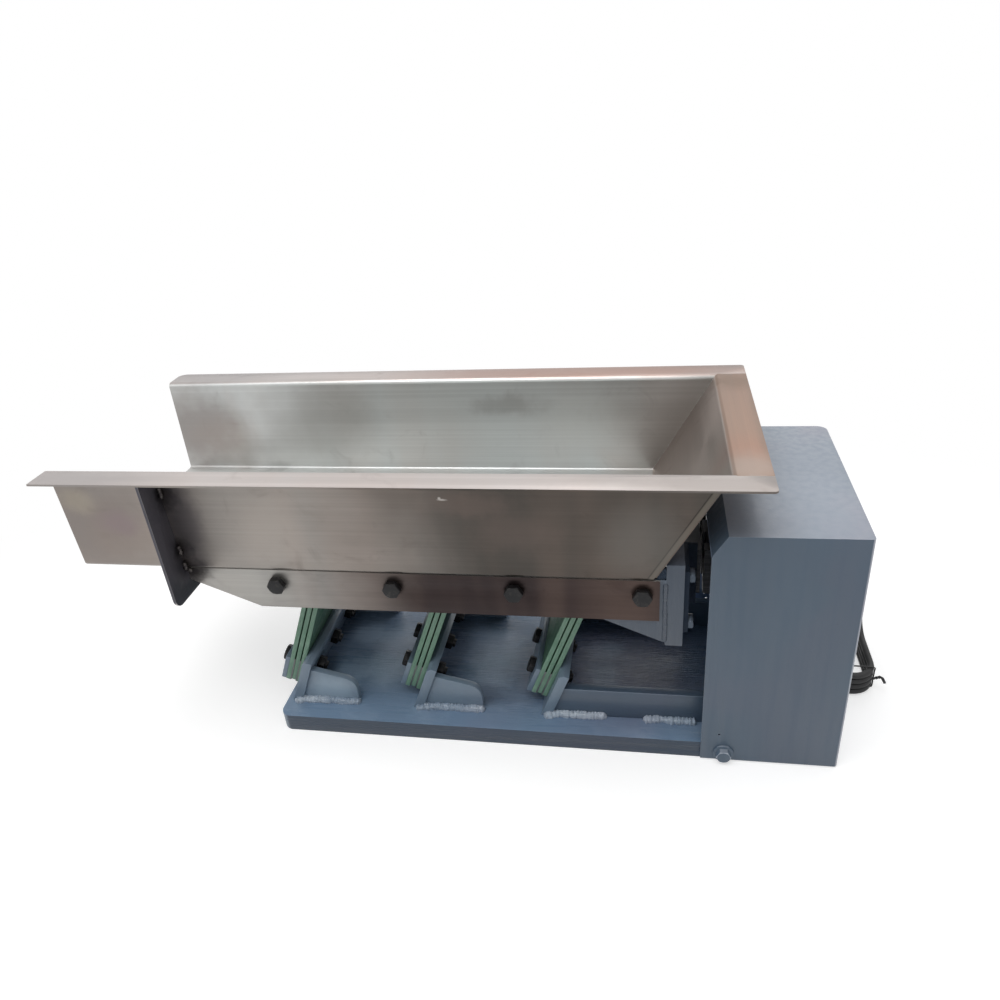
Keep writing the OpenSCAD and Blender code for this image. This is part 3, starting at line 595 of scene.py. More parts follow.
@dataclass(frozen=True)
class PlainMetal:
    """Bare, zinc-plated or blackened steel of bolts, nuts and small plates."""

    name: str
    colour: Rgb
    worn: Rgb
    roughness: float
    metallic: float = 1.0
    grime: float = 0.4

    def build(self) -> bpy.types.Material:
        """Builds the material.

        Returns:
            The finished material.
        """
        s = Shade(self.name)
        spots = s.noise(s.coords, 260.0, 4.0, 0.6, 0.5)
        patches = s.noise(s.coords, 60.0, 3.0, 0.5)
        tone = s.mix(s.ramp(spots, 0.5, 0.75, 0.0, self.grime), self.colour, self.worn)
        rough = s.math("ADD", self.roughness, s.ramp(patches, 0.3, 0.7, -0.1, 0.15))
        s.set(
            Base_Color=tone,
            Roughness=rough,
            Metallic=self.metallic,
            Normal=s.bump(spots, 0.0001, 0.5),
        )
        return s.material


@dataclass(frozen=True)
class Laminate:
    """Green glass-fibre sheet, with its plies showing on sawn edges."""

    name: str = "leaf_laminate"
    face: Rgb = srgb(58, 92, 74)
    edge: Rgb = srgb(112, 150, 128)
    fibre: Rgb = srgb(168, 196, 176)

    def build(self) -> bpy.types.Material:
        """Builds the material.

        Returns:
            The finished material.
        """
        s = Shade(self.name)
        turned = (0.0, -LEAN, 0.0)
        plies = s.noise(s.stretched((2600.0, 60.0, 60.0), turned), 1.0, 2.0, 0.5)
        warp = s.noise(s.stretched((40.0, 900.0, 40.0), turned), 1.0, 3.0, 0.5)
        clouds = s.noise(s.coords, 60.0, 3.0, 0.5)
        side = s.math("ABSOLUTE", s.facing("Y"))
        tone = s.mix(side, self.face, self.edge)
        tone = s.mix(s.math("MULTIPLY", s.ramp(plies, 0.52, 0.72, 0.0, 0.4), side), tone, self.fibre)
        tone = s.mix(s.ramp(warp, 0.5, 0.75, 0.0, 0.25), tone, self.fibre)
        tone = s.mix(s.ramp(clouds, 0.5, 0.85, 0.0, 0.25), tone, srgb(74, 104, 86))
        s.set(
            Base_Color=tone,
            Roughness=s.ramp(clouds, 0.3, 0.7, 0.36, 0.6),
            Normal=s.bump(plies, 0.00012, 0.6),
            Subsurface_Weight=0.08,
            Subsurface_Radius=(0.002, 0.004, 0.002),
        )
        return s.material


@dataclass(frozen=True)
class Moulded:
    """Rubber or plastic: dull, faintly grained, with dust in patches."""

    name: str
    colour: Rgb
    dust: Rgb
    roughness: float = 0.5
    grain: float = 900.0

    def build(self) -> bpy.types.Material:
        """Builds the material.

        Returns:
            The finished material.
        """
        s = Shade(self.name)
        grain = s.noise(s.coords, self.grain, 2.0, 0.5)
        patches = s.noise(s.coords, 45.0, 3.0, 0.6)
        tone = s.mix(s.ramp(patches, 0.5, 0.8, 0.0, 0.4), self.colour, self.dust)
        s.set(
            Base_Color=tone,
            Roughness=s.math("ADD", self.roughness, s.ramp(patches, 0.3, 0.7, -0.06, 0.12)),
            Normal=s.bump(grain, 0.00006, 0.6),
        )
        return s.material


@dataclass(frozen=True)
class StackedSheets:
    """Thin magnet sheets stacked along Z, oiled and slightly uneven."""

    name: str = "magnet_laminations"
    dark: Rgb = srgb(30, 31, 35)
    light: Rgb = srgb(74, 75, 78)

    def build(self) -> bpy.types.Material:
        """Builds the material.

        Returns:
            The finished material.
        """
        s = Shade(self.name)
        lines = s.noise(s.stretched((18.0, 18.0, 3000.0)), 1.0, 1.0, 0.4)
        tone = s.mix(s.ramp(lines, 0.35, 0.65), self.dark, self.light)
        s.set(Base_Color=tone, Roughness=0.48, Metallic=0.8, Normal=s.bump(lines, 0.0002, 0.8))
        return s.material


@dataclass(frozen=True)
class CoilTape:
    """Varnished cotton tape wound round the coil."""

    name: str = "coil_tape"
    # Dark slate: painted shade, so the coil reads as the shade inside the cover.
    colour: Rgb = srgb(30, 35, 44)
    light: Rgb = srgb(46, 52, 62)

    def build(self) -> bpy.types.Material:
        """Builds the material.

        Returns:
            The finished material.
        """
        s = Shade(self.name)
        wraps = s.node("ShaderNodeTexWave", wave_type="BANDS", bands_direction="Z")
        s.link(s.stretched((1.0, 1.0, 1.0), (0.5, 0.0, 0.0)), wraps.inputs["Vector"])
        wraps.inputs["Scale"].default_value = 26.0
        wraps.inputs["Distortion"].default_value = 1.0
        weave = s.noise(s.coords, 1200.0, 2.0, 0.5)
        tone = s.mix(s.ramp(wraps.outputs["Fac"], 0.2, 0.9), self.colour, self.light)
        s.set(Base_Color=tone, Normal=s.bump(wraps.outputs["Fac"], 0.0006, 0.8), Coat_Weight=0.3)
        s.set(Roughness=s.ramp(weave, 0.3, 0.7, 0.35, 0.5))
        return s.material


@dataclass(frozen=True)
class BareWeld:
    """Unground stainless weld, spotted with dark heat tint."""

    name: str = "bare_weld"
    colour: Rgb = srgb(82, 78, 76)
    tint: Rgb = srgb(46, 41, 44)

    def build(self) -> bpy.types.Material:
        """Builds the material.

        Returns:
            The finished material.
        """
        s = Shade(self.name)
        spots = s.noise(s.coords, 340.0, 3.0, 0.6, 0.6)
        tone = s.mix(s.ramp(spots, 0.42, 0.66), self.colour, self.tint)
        s.set(Base_Color=tone, Roughness=0.5, Metallic=0.6, Normal=s.bump(spots, 0.0004, 0.8))
        return s.material


class Finishes:
    """All materials of the object, made once; the pieces take them from here."""

    def __init__(self) -> None:
        """Builds every finish."""
        self.enamels()
        self.stainless_sheets()
        self.small_parts()

    def enamels(self) -> None:
        """Builds the coats of the base, the frame, the cover and the painted welds."""
        deep, soft = srgb(114, 132, 149), srgb(128, 146, 163)
        sheen, painted_shade = srgb(184, 208, 230), srgb(84, 100, 122)
        # Painted sheen and painted shade on the base plate's bays.
        painted_light_pools = (
            Mark((-0.186, 0.012, 0.02), (0.036, 0.060, 0.05), sheen, 0.65, 0.7, 40.0),
            Mark((-0.226, 0.034, 0.02), (0.042, 0.030, 0.05), sheen, 0.4, 1.0, 60.0),
            Mark((-0.064, 0.004, 0.02), (0.040, 0.085, 0.05), sheen, 0.55, 0.7, 45.0),
            Mark((-0.266, 0.030, 0.02), (0.026, 0.080, 0.05), painted_shade, 0.8, 0.6, 30.0),
            Mark((-0.118, 0.030, 0.02), (0.028, 0.080, 0.05), painted_shade, 0.8, 0.6, 30.0),
            # Painted shade over the bay under the drive.
            Mark((0.080, 0.030, 0.02), (0.150, 0.090, 0.05), srgb(86, 96, 122), 1.0, 0.3, 20.0),
            Mark((0.060, 0.020, 0.02), (0.030, 0.030, 0.05), sheen, 0.25, 1.0, 60.0),
            Mark((-0.070, 0.064, 0.02), (0.045, 0.026, 0.05), painted_shade, 0.75, 0.5, 40.0),
        )
        self.base_paint = Enamel(
            "base_enamel",
            srgb(66, 79, 95),
            srgb(76, 89, 106),
            marks=1.0,
            roughness=0.3,
            painted_light_pools=0.45,
            level=srgb(118, 143, 170),
            top_light_share=0.9,
            gloss=0.3,
            coat=0.12,
            spots=painted_light_pools,
        ).build()
        # Painted highlight on the first gusset's upright face.
        gusset = Mark((-0.232, 0.084, 0.034), (0.040, 0.020, 0.030), srgb(158, 178, 194), 0.8, 0.5, 60.0)
        self.plate_paint = Enamel(
            "plate_enamel", deep, soft, Axis.Y, roughness=0.36, standing=(gusset,)
        ).build()
        self.rib_paint = Enamel(
            "rib_enamel", srgb(70, 86, 103), srgb(80, 97, 115), roughness=0.36
        ).build()
        # Paler than the plates: painted light on the magnet bracket and its gussets inside the cover.
        self.bracket_lit_paint = Enamel(
            "bracket_lit_enamel", srgb(120, 140, 168), srgb(130, 150, 178), Axis.Y
        ).build()
        self.shaded_paint = Enamel(
            "shaded_enamel",
            srgb(46, 58, 74),
            srgb(54, 66, 82),
            Axis.Y,
            marks=0.4,
            roughness=0.5,
            rub=0.1,
            gloss=0.12,
            coat=0.0,
        ).build()
        # Its lighter top tone, light rim line and paler inside are painted light and a painted highlight.
        self.cover_paint = Enamel(
            "cover_enamel",
            srgb(80, 97, 114),
            srgb(86, 103, 120),
            Axis.Z,
            marks=0.25,
            roughness=0.42,
            top_light_share=0.55,
            rim_highlight=srgb(178, 186, 198),
            rub=0.85,
            inside_light_box=(0.2895, 0.1125, 0.2610),
        ).build()
        self.pale_paint = Enamel(
            "pale_enamel", srgb(72, 83, 97), srgb(86, 97, 111), Axis.Z, roughness=0.4
        ).build()
        self.bead_paint = Enamel(
            "bead_enamel", srgb(66, 76, 90), srgb(84, 95, 109), Axis.Z, roughness=0.3, rub=0.0
        ).build()
        # Its strong pale streaks are painted glints along the beads.
        self.weld_paint = Enamel(
            "weld_enamel", srgb(136, 154, 174), srgb(222, 232, 240), marks=2.4, roughness=0.16, rub=0.0
        ).build()

    def stainless_sheets(self) -> None:
        """Builds the finishes of the trough, its end wall, its skirts and its stiffener."""
        soot_and_shade, blue = srgb(58, 53, 54), srgb(92, 88, 96)
        nick, brown = srgb(206, 202, 196), srgb(104, 92, 86)
        weld_x = -0.343
        pan_marks = (
            # Darker beside the stiffener's welds: weld burn and painted shade.
            Mark((weld_x + 0.002, 0.112, 0.296), (0.018, 0.02, 0.026), soot_and_shade, 0.75, inside=0.06),
            Mark((weld_x, 0.111, 0.233), (0.018, 0.02, 0.022), soot_and_shade, 0.8, inside=0.06),
            Mark((weld_x + 0.004, 0.110, 0.2125), (0.03, 0.02, 0.014), soot_and_shade, 0.7, inside=0.25),
            Mark(
                (-0.25, 0.112, 0.262), (0.05, 0.02, 0.06), srgb(174, 164, 156),
                0.4, 0.6, 30.0, inside=0.0
            ),
            Mark((-0.33, 0.112, 0.262), (0.025, 0.02, 0.075), blue, 0.5, 0.8, 40.0, inside=0.1),
            Mark((-0.01, 0.112, 0.262), (0.06, 0.02, 0.035), brown, 0.4, 1.0, 30.0, inside=0.0),
            Mark((-0.05, 0.112, 0.290), (0.06, 0.02, 0.018), brown, 0.5, 1.2, 40.0, inside=0.6),
            Mark((-0.0728, -0.1125, 0.2938), (0.006, 0.02, 0.0014), nick, 0.5, 0.6, 500.0, False, 0.0),
            Mark((-0.0752, -0.1125, 0.2952), (0.002, 0.02, 0.0020), nick, 0.6, 0.5, 500.0, False, 0.0),
            Mark((0.10, 0.109, 0.25), (0.05, 0.02, 0.06), srgb(110, 108, 104), 0.45, 0.4, 20.0, inside=0.0),
            Mark(
                (-0.43, 0.112, 0.26), (0.10, 0.02, 0.09), srgb(132, 124, 120),
                0.75, 0.7, 20.0, inside=1.0
            ),
            Mark(
                (-0.40, 0.111, 0.248), (0.06, 0.02, 0.05), srgb(156, 138, 126),
                0.25, 0.8, 30.0, inside=1.0
            ),
            Mark(
                (-0.435, 0.112, 0.288), (0.030, 0.02, 0.022), srgb(176, 166, 148),
                0.45, 0.8, 40.0, inside=0.0
            ),
            Mark(
                (-0.400, 0.112, 0.262), (0.034, 0.02, 0.022), srgb(138, 120, 128),
                0.4, 0.8, 40.0, inside=0.0
            ),
            Mark(
                (-0.275, 0.111, 0.270), (0.100, 0.02, 0.090), srgb(152, 149, 144),
                0.42, 0.9, 14.0, False, 1.0
            ),
            Mark(
                (0.040, 0.111, 0.274), (0.070, 0.02, 0.045), srgb(212, 215, 212),
                0.4, 0.4, 20.0, False, 1.0
            ),
            # Painted shade on the flanges' right part.
            Mark(
                (0.17, 0.13, 0.3214), (0.17, 0.03, 0.004), srgb(124, 118, 114),
                0.75, 0.3, 20.0, inside=1.0
            ),
            Mark(
                (-0.42, 0.13, 0.3214), (0.14, 0.03, 0.004), srgb(150, 146, 146),
                0.6, 0.4, 20.0, inside=1.0
            ),
            Mark((0.02, 0.13, 0.3214), (0.28, 0.03, 0.004), srgb(158, 122, 108), 0.8, 0.4, 9.0, False, 1.0),
        )
        # Inner, outer and dark reflection tones here are painted light and painted reflection.
        self.stainless = Sheet(
            "brushed_stainless",
            inner=srgb(194, 197, 196),
            outer=srgb(146, 141, 136),
            dark_reflection=srgb(72, 68, 64),
            marks=pan_marks,
            strips=(
                Strip((0.111, 0.2104), (0.866, -0.5), 0.0055, srgb(120, 114, 104), 0.35),
                # Soft strip: painted shade on the inner walls by the end wall.
                Strip((0.111, 0.2104), (0.866, -0.5), 0.048, srgb(112, 109, 104), 0.42, True),
            ),
        ).build()
        self.skirt = Sheet(
            "skirt_stainless",
            outer=srgb(160, 158, 154),
            # Painted dark reflection on the skirt's right part.
            dark_reflection=srgb(50, 42, 42),
            reflection_from=-0.30,
            reflection_to=-0.10,
            # Darker beside the stiffener: weld burn and painted shade.
            marks=(Mark((weld_x + 0.006, 0.108, 0.207), (0.024, 0.02, 0.016), soot_and_shade, 0.85),),
        ).build()
        self.end_flange = Sheet(
            "end_stainless",
            level=srgb(126, 106, 93),
            inner=srgb(166, 155, 149),
            outer=srgb(120, 113, 107),
            warm=srgb(150, 104, 84),
            grain=Axis.Y,
            warmth=0.5,
            marks=(
                Mark((0.19, 0.128, 0.3214), (0.022, 0.018, 0.02), srgb(142, 138, 134), 0.85, inside=1.0),
                Mark(
                    (0.19, 0.094, 0.3214), (0.030, 0.034, 0.02), srgb(104, 84, 68),
                    0.55, 0.6, 40.0, False, 1.0
                ),
                Mark(
                    (0.207, 0.04, 0.3214), (0.008, 0.12, 0.02), srgb(110, 96, 86),
                    0.5, 0.8, 30.0, inside=1.0
                ),
                Mark(
                    (0.189, -0.100, 0.3214), (0.030, 0.040, 0.02), srgb(150, 138, 130),
                    0.5, 0.6, 40.0, False, 1.0
                ),
            ),
        ).build()
        self.mill = Sheet(
            "mill_stainless",
            # Level tone and rims: painted light on the stiffener's top and a painted highlight on its
            # edges.
            level=srgb(150, 148, 150),
            inner=srgb(86, 85, 92),
            outer=srgb(88, 87, 94),
            dark_reflection=srgb(88, 87, 94),
            warm=srgb(92, 86, 90),
            grain=Axis.Z,
            roughness=0.45,
            rub=0.8,
            marks=(
                Mark((-0.345, 0.113, 0.296), (0.01, 0.012, 0.02), srgb(40, 37, 38), 0.8, inside=1.0),
                Mark((-0.345, 0.112, 0.233), (0.01, 0.012, 0.018), srgb(40, 37, 38), 0.8, inside=1.0),
            ),
        ).build()

    def small_parts(self) -> None:
        """Builds the finishes of fasteners, leaves, magnet, bare welds and cord."""
        self.black = PlainMetal("black_steel", srgb(24, 24, 26), srgb(74, 70, 66), 0.42, 0.4).build()
        self.zinc = PlainMetal("zinc_steel", srgb(78, 86, 96), srgb(52, 56, 62), 0.36).build()
        self.plain = PlainMetal("plain_steel", srgb(120, 120, 122), srgb(84, 78, 74), 0.42).build()
        self.laminate = Laminate().build()
        self.sheets = StackedSheets().build()
        self.coil = CoilTape().build()
        self.weld = BareWeld().build()
        self.plastic = Moulded("black_plastic", srgb(26, 26, 28), srgb(50, 49, 48), 0.42).build()
        self.rubber = Moulded("cord_rubber", srgb(24, 24, 26), srgb(52, 51, 50), 0.55, 500.0).build()


# --------------------------------------------------------------------- meshes


def dress(node: str, material: bpy.types.Material) -> bpy.types.Object:
    """Gives a CAD node a finish.

    Args:
        node: The node's name.
        material: Its finish.

    Returns:
        The node's object.
    """
    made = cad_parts[node]
    made.data.materials.clear()
    made.data.materials.append(material)
    LOG.info("node %s keeps its shape", node)
    return made


def finish_mesh(
    made: bpy.types.Object,
    body: Body,
    material: bpy.types.Material | None = None,
    replaces: Iterable[str] = (),
) -> bpy.types.Object:
    """Puts a finished mesh on its body and hides the CAD nodes that it stands for.

    Args:
        made: The piece.
        body: The body that it rides on.
        material: Its finish, if it has none yet.
        replaces: CAD nodes that it stands for.

    Returns:
        The piece.
    """
    if material is not None:
        made.data.materials.clear()
        made.data.materials.append(material)
    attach(made, body.value)
    names = list(replaces)
    if names:
        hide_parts(*names)
    LOG.info("piece %s: %d faces on %s", made.name, len(made.data.polygons), body.value)
    return made


def link_mesh(name: str, mesh: bpy.types.Mesh) -> bpy.types.Object:
    """Adds a mesh to the scene as an object at the origin.

    Args:
        name: The object's name.
        mesh: Its mesh.

    Returns:
        The object.
    """
    made = bpy.data.objects.new(name, mesh)
    bpy.context.scene.collection.objects.link(made)
    return made


def settle(made: bpy.types.Object) -> bpy.types.Object:
    """Applies an object's modifiers to a plain mesh.

    Args:
        made: The object.

    Returns:
        The same object with no modifiers.
    """
    graph = bpy.context.evaluated_depsgraph_get()
    graph.update()
    plain = bpy.data.meshes.new_from_object(made.evaluated_get(graph))
    old = made.data
    made.modifiers.clear()
    made.data = plain
    if old.users == 0:
        bpy.data.meshes.remove(old)
    return made


def eased_copy(
    node: str,
    name: str,
    width: float,
    sharp: float = 28.0,
    segments: int = 2,
    corner: float = 0.0,
    even: bool = False,
) -> bpy.types.Object:
    """Copies a CAD node with its edges slightly rounded.

    Args:
        node: The node to copy.
        name: The copy's name.
        width: Width of the rounding.
        sharp: Edges that turn by more degrees than this are rounded.
        segments: Faces across a rounding.
        corner: Radius of the upright corners at the node's highest X and widest Y, or 0.
        even: Shades the flat faces evenly up to their rounded edges.

    Returns:
        The copy, at the origin.
    """
    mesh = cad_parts[node].data.copy()
    mesh.materials.clear()
    made = link_mesh(name, mesh)
    shape = bmesh.new()
    shape.from_mesh(mesh)
    bmesh.ops.remove_doubles(shape, verts=shape.verts, dist=MERGE)
    bmesh.ops.dissolve_limit(
        shape,
        angle_limit=LEVEL_ANGLE,
        use_dissolve_boundaries=False,
        verts=shape.verts,
        edges=shape.edges,
        delimit={"NORMAL"},
    )
    if corner:
        end_x, end_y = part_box(node)[1][:2]
        upright = [
            edge
            for edge in shape.edges
            if all(
                abs(v.co.x - end_x) < AT_CORNER and abs(abs(v.co.y) - end_y) < AT_CORNER
                for v in edge.verts
            )
        ]
        LOG.info("%s: %d upright corners rounded", name, len(upright))
        bmesh.ops.bevel(shape, geom=upright, offset=corner, segments=5, profile=0.5, affect="EDGES")
    shape.to_mesh(mesh)
    shape.free()
    bevel = made.modifiers.new("ease", "BEVEL")
    bevel.width = width
    bevel.segments = segments
    bevel.limit_method = "ANGLE"
    bevel.angle_limit = math.radians(sharp)
    bevel.use_clamp_overlap = True
    bevel.miter_outer = "MITER_ARC"
    settle(made)
    smooth_by_angle(made.data)
    if even:
        flat = made.modifiers.new("even", "WEIGHTED_NORMAL")
        flat.keep_sharp = True
        settle(made)
    return made


def dress_eased(
    node: str, body: Body, slot: str, material: bpy.types.Material, width: float, **more: float
) -> bpy.types.Object:
    """Puts an eased copy of a CAD node on its body, in the node's place.

    Args:
        node: The node.
        body: The body that it rides on.
        slot: The record's material slot; not used.
        material: Its finish.
        width: Width of the rounding.
        **more: Further settings of eased_copy.

    Returns:
        The piece.
    """
    made = eased_copy(node, node + "_eased", width, **more)
    return finish_mesh(made, body, material, (node,))


def smooth_by_angle(mesh: bpy.types.Mesh, degrees: float = 40.0) -> None:
    """Shades a mesh smooth, with edges sharper than an angle left crisp.

    Args:
        mesh: The mesh.
        degrees: The angle.
    """
    shape = bmesh.new()
    shape.from_mesh(mesh)
    limit = math.radians(degrees)
    for face in shape.faces:
        face.smooth = True
    for edge in shape.edges:
        edge.smooth = len(edge.link_faces) == 2 and edge.calc_face_angle(0.0) < limit
    shape.to_mesh(mesh)
    shape.free()


def sweep(
    name: str, path: Sequence[Vector], radius: float | Callable[[float], float], sides: int
) -> bpy.types.Object:
    """Sweeps a circle along a path without twist, with closed round ends.

    Args:
        name: The piece's name.
        path: Points of the centreline.
        radius: The circle's radius, or a function of the share of the way.
        sides: Corners of the circle.

    Returns:
        The tube, at the origin.
    """
    shape = bmesh.new()
    points = [Vector(p) for p in path]
    up = Vector((0, 0, 1))
    rings: list[list[bmesh.types.BMVert]] = []
    last = len(points) - 1
    before: Vector | None = None
    for i, p in enumerate(points):
        way = (points[min(i + 1, last)] - points[max(i - 1, 0)]).normalized()
        if before is None:
            u = way.cross(up if abs(way.z) < 0.9 else Vector((1, 0, 0))).normalized()
        else:
            u = (before - way * before.dot(way)).normalized()
        before = u
        w = way.cross(u)
        r = radius(i / last) if callable(radius) else radius
        ring = []
        for j in range(sides):
            a = 2 * math.pi * j / sides
            ring.append(shape.verts.new(p + r * (math.cos(a) * u + math.sin(a) * w)))
        rings.append(ring)
    for a, b in zip(rings, rings[1:]):
        for j in range(sides):
            k = (j + 1) % sides
            shape.faces.new((a[j], a[k], b[k], b[j]))
    shape.faces.new(list(reversed(rings[0])))
    shape.faces.new(rings[-1])
    bmesh.ops.recalc_face_normals(shape, faces=shape.faces)
    mesh = bpy.data.meshes.new(name)
    shape.to_mesh(mesh)
    shape.free()
    smooth_by_angle(mesh, 50.0)
    return link_mesh(name, mesh)


# ------------------------------------------------------------- geometry nodes


@dataclass(frozen=True)
class Bead:
    """One kind of lumpy weld bead, and the Geometry Nodes that lay it along poly lines."""

    tree_name: str
    radius: float
    pitch: float
    ripple: float
    lump: float
    seed: float
    spacing: float = 0.0006
    sides: int = 12

    def sizes(self) -> dict[str, float]:
        """The tree's inputs, by name."""
        return {
            "Bead radius": self.radius,
            "Ripple pitch": self.pitch,
            "Ripple depth": self.ripple,
            "Lump depth": self.lump,
            "Seed": self.seed,
        }

    def lay(
        self, name: str, lines: Iterable[Sequence[Sequence[float]]], material: bpy.types.Material
    ) -> bpy.types.Object:
        """Lays beads of this kind along lines.

        Args:
            name: The piece's name.
            lines: Points of each line.
            material: What the beads are finished with.

        Returns:
            The beads as one plain mesh.
        """
        return grow(name, poly_lines(name + "_lines", lines), self.tree(material), self.sizes())

    def tree(self, material: bpy.types.Material) -> bpy.types.NodeTree:
        """Builds the node tree.

        Args:
            material: What the beads are finished with.

        Returns:
            The tree.
        """
        tree = bpy.data.node_groups.new(self.tree_name, "GeometryNodeTree")
        tree.interface.new_socket("Geometry", in_out="INPUT", socket_type="NodeSocketGeometry")
        for label, value in self.sizes().items():
            made = tree.interface.new_socket(label, in_out="INPUT", socket_type="NodeSocketFloat")
            made.default_value = value
        tree.interface.new_socket("Geometry", in_out="OUTPUT", socket_type="NodeSocketGeometry")
        add, join = tree.nodes.new, tree.links.new

        def calc(kind: str, a: object, b: object = 0.0) -> bpy.types.NodeSocket:
            """One arithmetic step inside the tree, on numbers or sockets."""
            made = add("ShaderNodeMath")
            made.operation = kind
            for socket, value in zip(made.inputs, (a, b)):
                if isinstance(value, bpy.types.NodeSocket):
                    join(value, socket)
                else:
                    socket.default_value = value
            return made.outputs[0]

        begin, end = add("NodeGroupInput"), add("NodeGroupOutput")
        to_curve = add("GeometryNodeMeshToCurve")
        join(begin.outputs["Geometry"], to_curve.inputs["Mesh"])
        resample = add("GeometryNodeResampleCurve")
        resample.mode = "LENGTH"
        join(to_curve.outputs["Curve"], resample.inputs["Curve"])
        resample.inputs["Length"].default_value = self.spacing
        along = add("GeometryNodeSplineParameter")
        turns = calc("DIVIDE", along.outputs["Length"], begin.outputs["Ripple pitch"])
        wobble = add("ShaderNodeTexNoise")
        wobble.noise_dimensions = "4D"
        wobble.inputs["Scale"].default_value = 120.0
        join(begin.outputs["Seed"], wobble.inputs["W"])
        wobble_height = wobble.outputs[0]
        phase = calc("ADD", turns, wobble_height)
        swing = calc("SINE", calc("MULTIPLY", phase, math.pi))
        wave = calc("ABSOLUTE", swing)
        ripple = calc("MULTIPLY", wave, begin.outputs["Ripple depth"])
        swell = calc("MULTIPLY", calc("SUBTRACT", wobble_height, 0.5), 0.9)
        factor = calc("ADD", calc("ADD", ripple, swell), 0.85)
        near = calc("MULTIPLY", along.outputs["Factor"], 30.0)
        far = calc("MULTIPLY", calc("SUBTRACT", 1.0, along.outputs["Factor"]), 30.0)
        ends = calc("MINIMUM", calc("MINIMUM", near, far), 1.0)
        ends = calc("ADD", calc("MULTIPLY", ends, 0.55), 0.45)
        share = calc("MULTIPLY", factor, ends)
        radius = calc("MULTIPLY", share, begin.outputs["Bead radius"])
        profile = add("GeometryNodeCurvePrimitiveCircle")
        profile.inputs["Resolution"].default_value = self.sides
        profile.inputs["Radius"].default_value = 1.0
        tube = add("GeometryNodeCurveToMesh")
        join(resample.outputs["Curve"], tube.inputs["Curve"])
        join(profile.outputs["Curve"], tube.inputs["Profile Curve"])
        join(radius, tube.inputs["Scale"])
        tube.inputs["Fill Caps"].default_value = True
        place = add("GeometryNodeSetPosition")
        join(tube.outputs["Mesh"], place.inputs["Geometry"])
        lumps = add("ShaderNodeTexNoise")
        lumps.noise_dimensions = "4D"
        lumps.inputs["Scale"].default_value = 380.0
        join(begin.outputs["Seed"], lumps.inputs["W"])
        centred = add("ShaderNodeVectorMath")
        centred.operation = "SUBTRACT"
        join(lumps.outputs["Color"], centred.inputs[0])
        centred.inputs[1].default_value = (0.5, 0.5, 0.5)
        scaled = add("ShaderNodeVectorMath")
        scaled.operation = "SCALE"
        join(centred.outputs[0], scaled.inputs[0])
        join(begin.outputs["Lump depth"], scaled.inputs["Scale"])
        join(scaled.outputs[0], place.inputs["Offset"])
        smooth = add("GeometryNodeSetShadeSmooth")
        join(place.outputs["Geometry"], smooth.inputs["Geometry"])
        real = add("GeometryNodeRealizeInstances")
        join(smooth.outputs["Geometry"], real.inputs["Geometry"])
        coat = add("GeometryNodeSetMaterial")
        coat.inputs["Material"].default_value = material
        join(real.outputs["Geometry"], coat.inputs["Geometry"])
        join(coat.outputs["Geometry"], end.inputs["Geometry"])
        return tree


def grow(
    name: str, base: bpy.types.Mesh, tree: bpy.types.NodeTree, values: dict[str, float]
) -> bpy.types.Object:
    """Runs a Geometry Nodes tree on a mesh and keeps the result as a plain mesh.

    Args:
        name: The piece's name.
        base: The mesh that the tree starts from.
        tree: The tree.
        values: Inputs by their names.

    Returns:
        The piece, with no modifier left.
    """
    made = link_mesh(name, base)
    modifier = made.modifiers.new("grow", "NODES")
    modifier.node_group = tree
    for item in tree.interface.items_tree:
        if getattr(item, "in_out", "") == "INPUT" and item.name in values:
            modifier[item.identifier] = values[item.name]
    return settle(made)


def poly_lines(name: str, lines: Iterable[Sequence[Sequence[float]]]) -> bpy.types.Mesh:
    """A mesh of open lines.

    Args:
        name: The mesh's name.
        lines: Points of each line.

    Returns:
        The mesh.
    """
    points: list[tuple[float, float, float]] = []
    edges: list[tuple[int, int]] = []
    for line in lines:
        first = len(points)
        points.extend(tuple(float(v) for v in p) for p in line)
        edges.extend((i, i + 1) for i in range(first, len(points) - 1))
    mesh = bpy.data.meshes.new(name)
    mesh.from_pydata(points, edges, [])
    return mesh


# ---------------------------------------------------------------------- studio


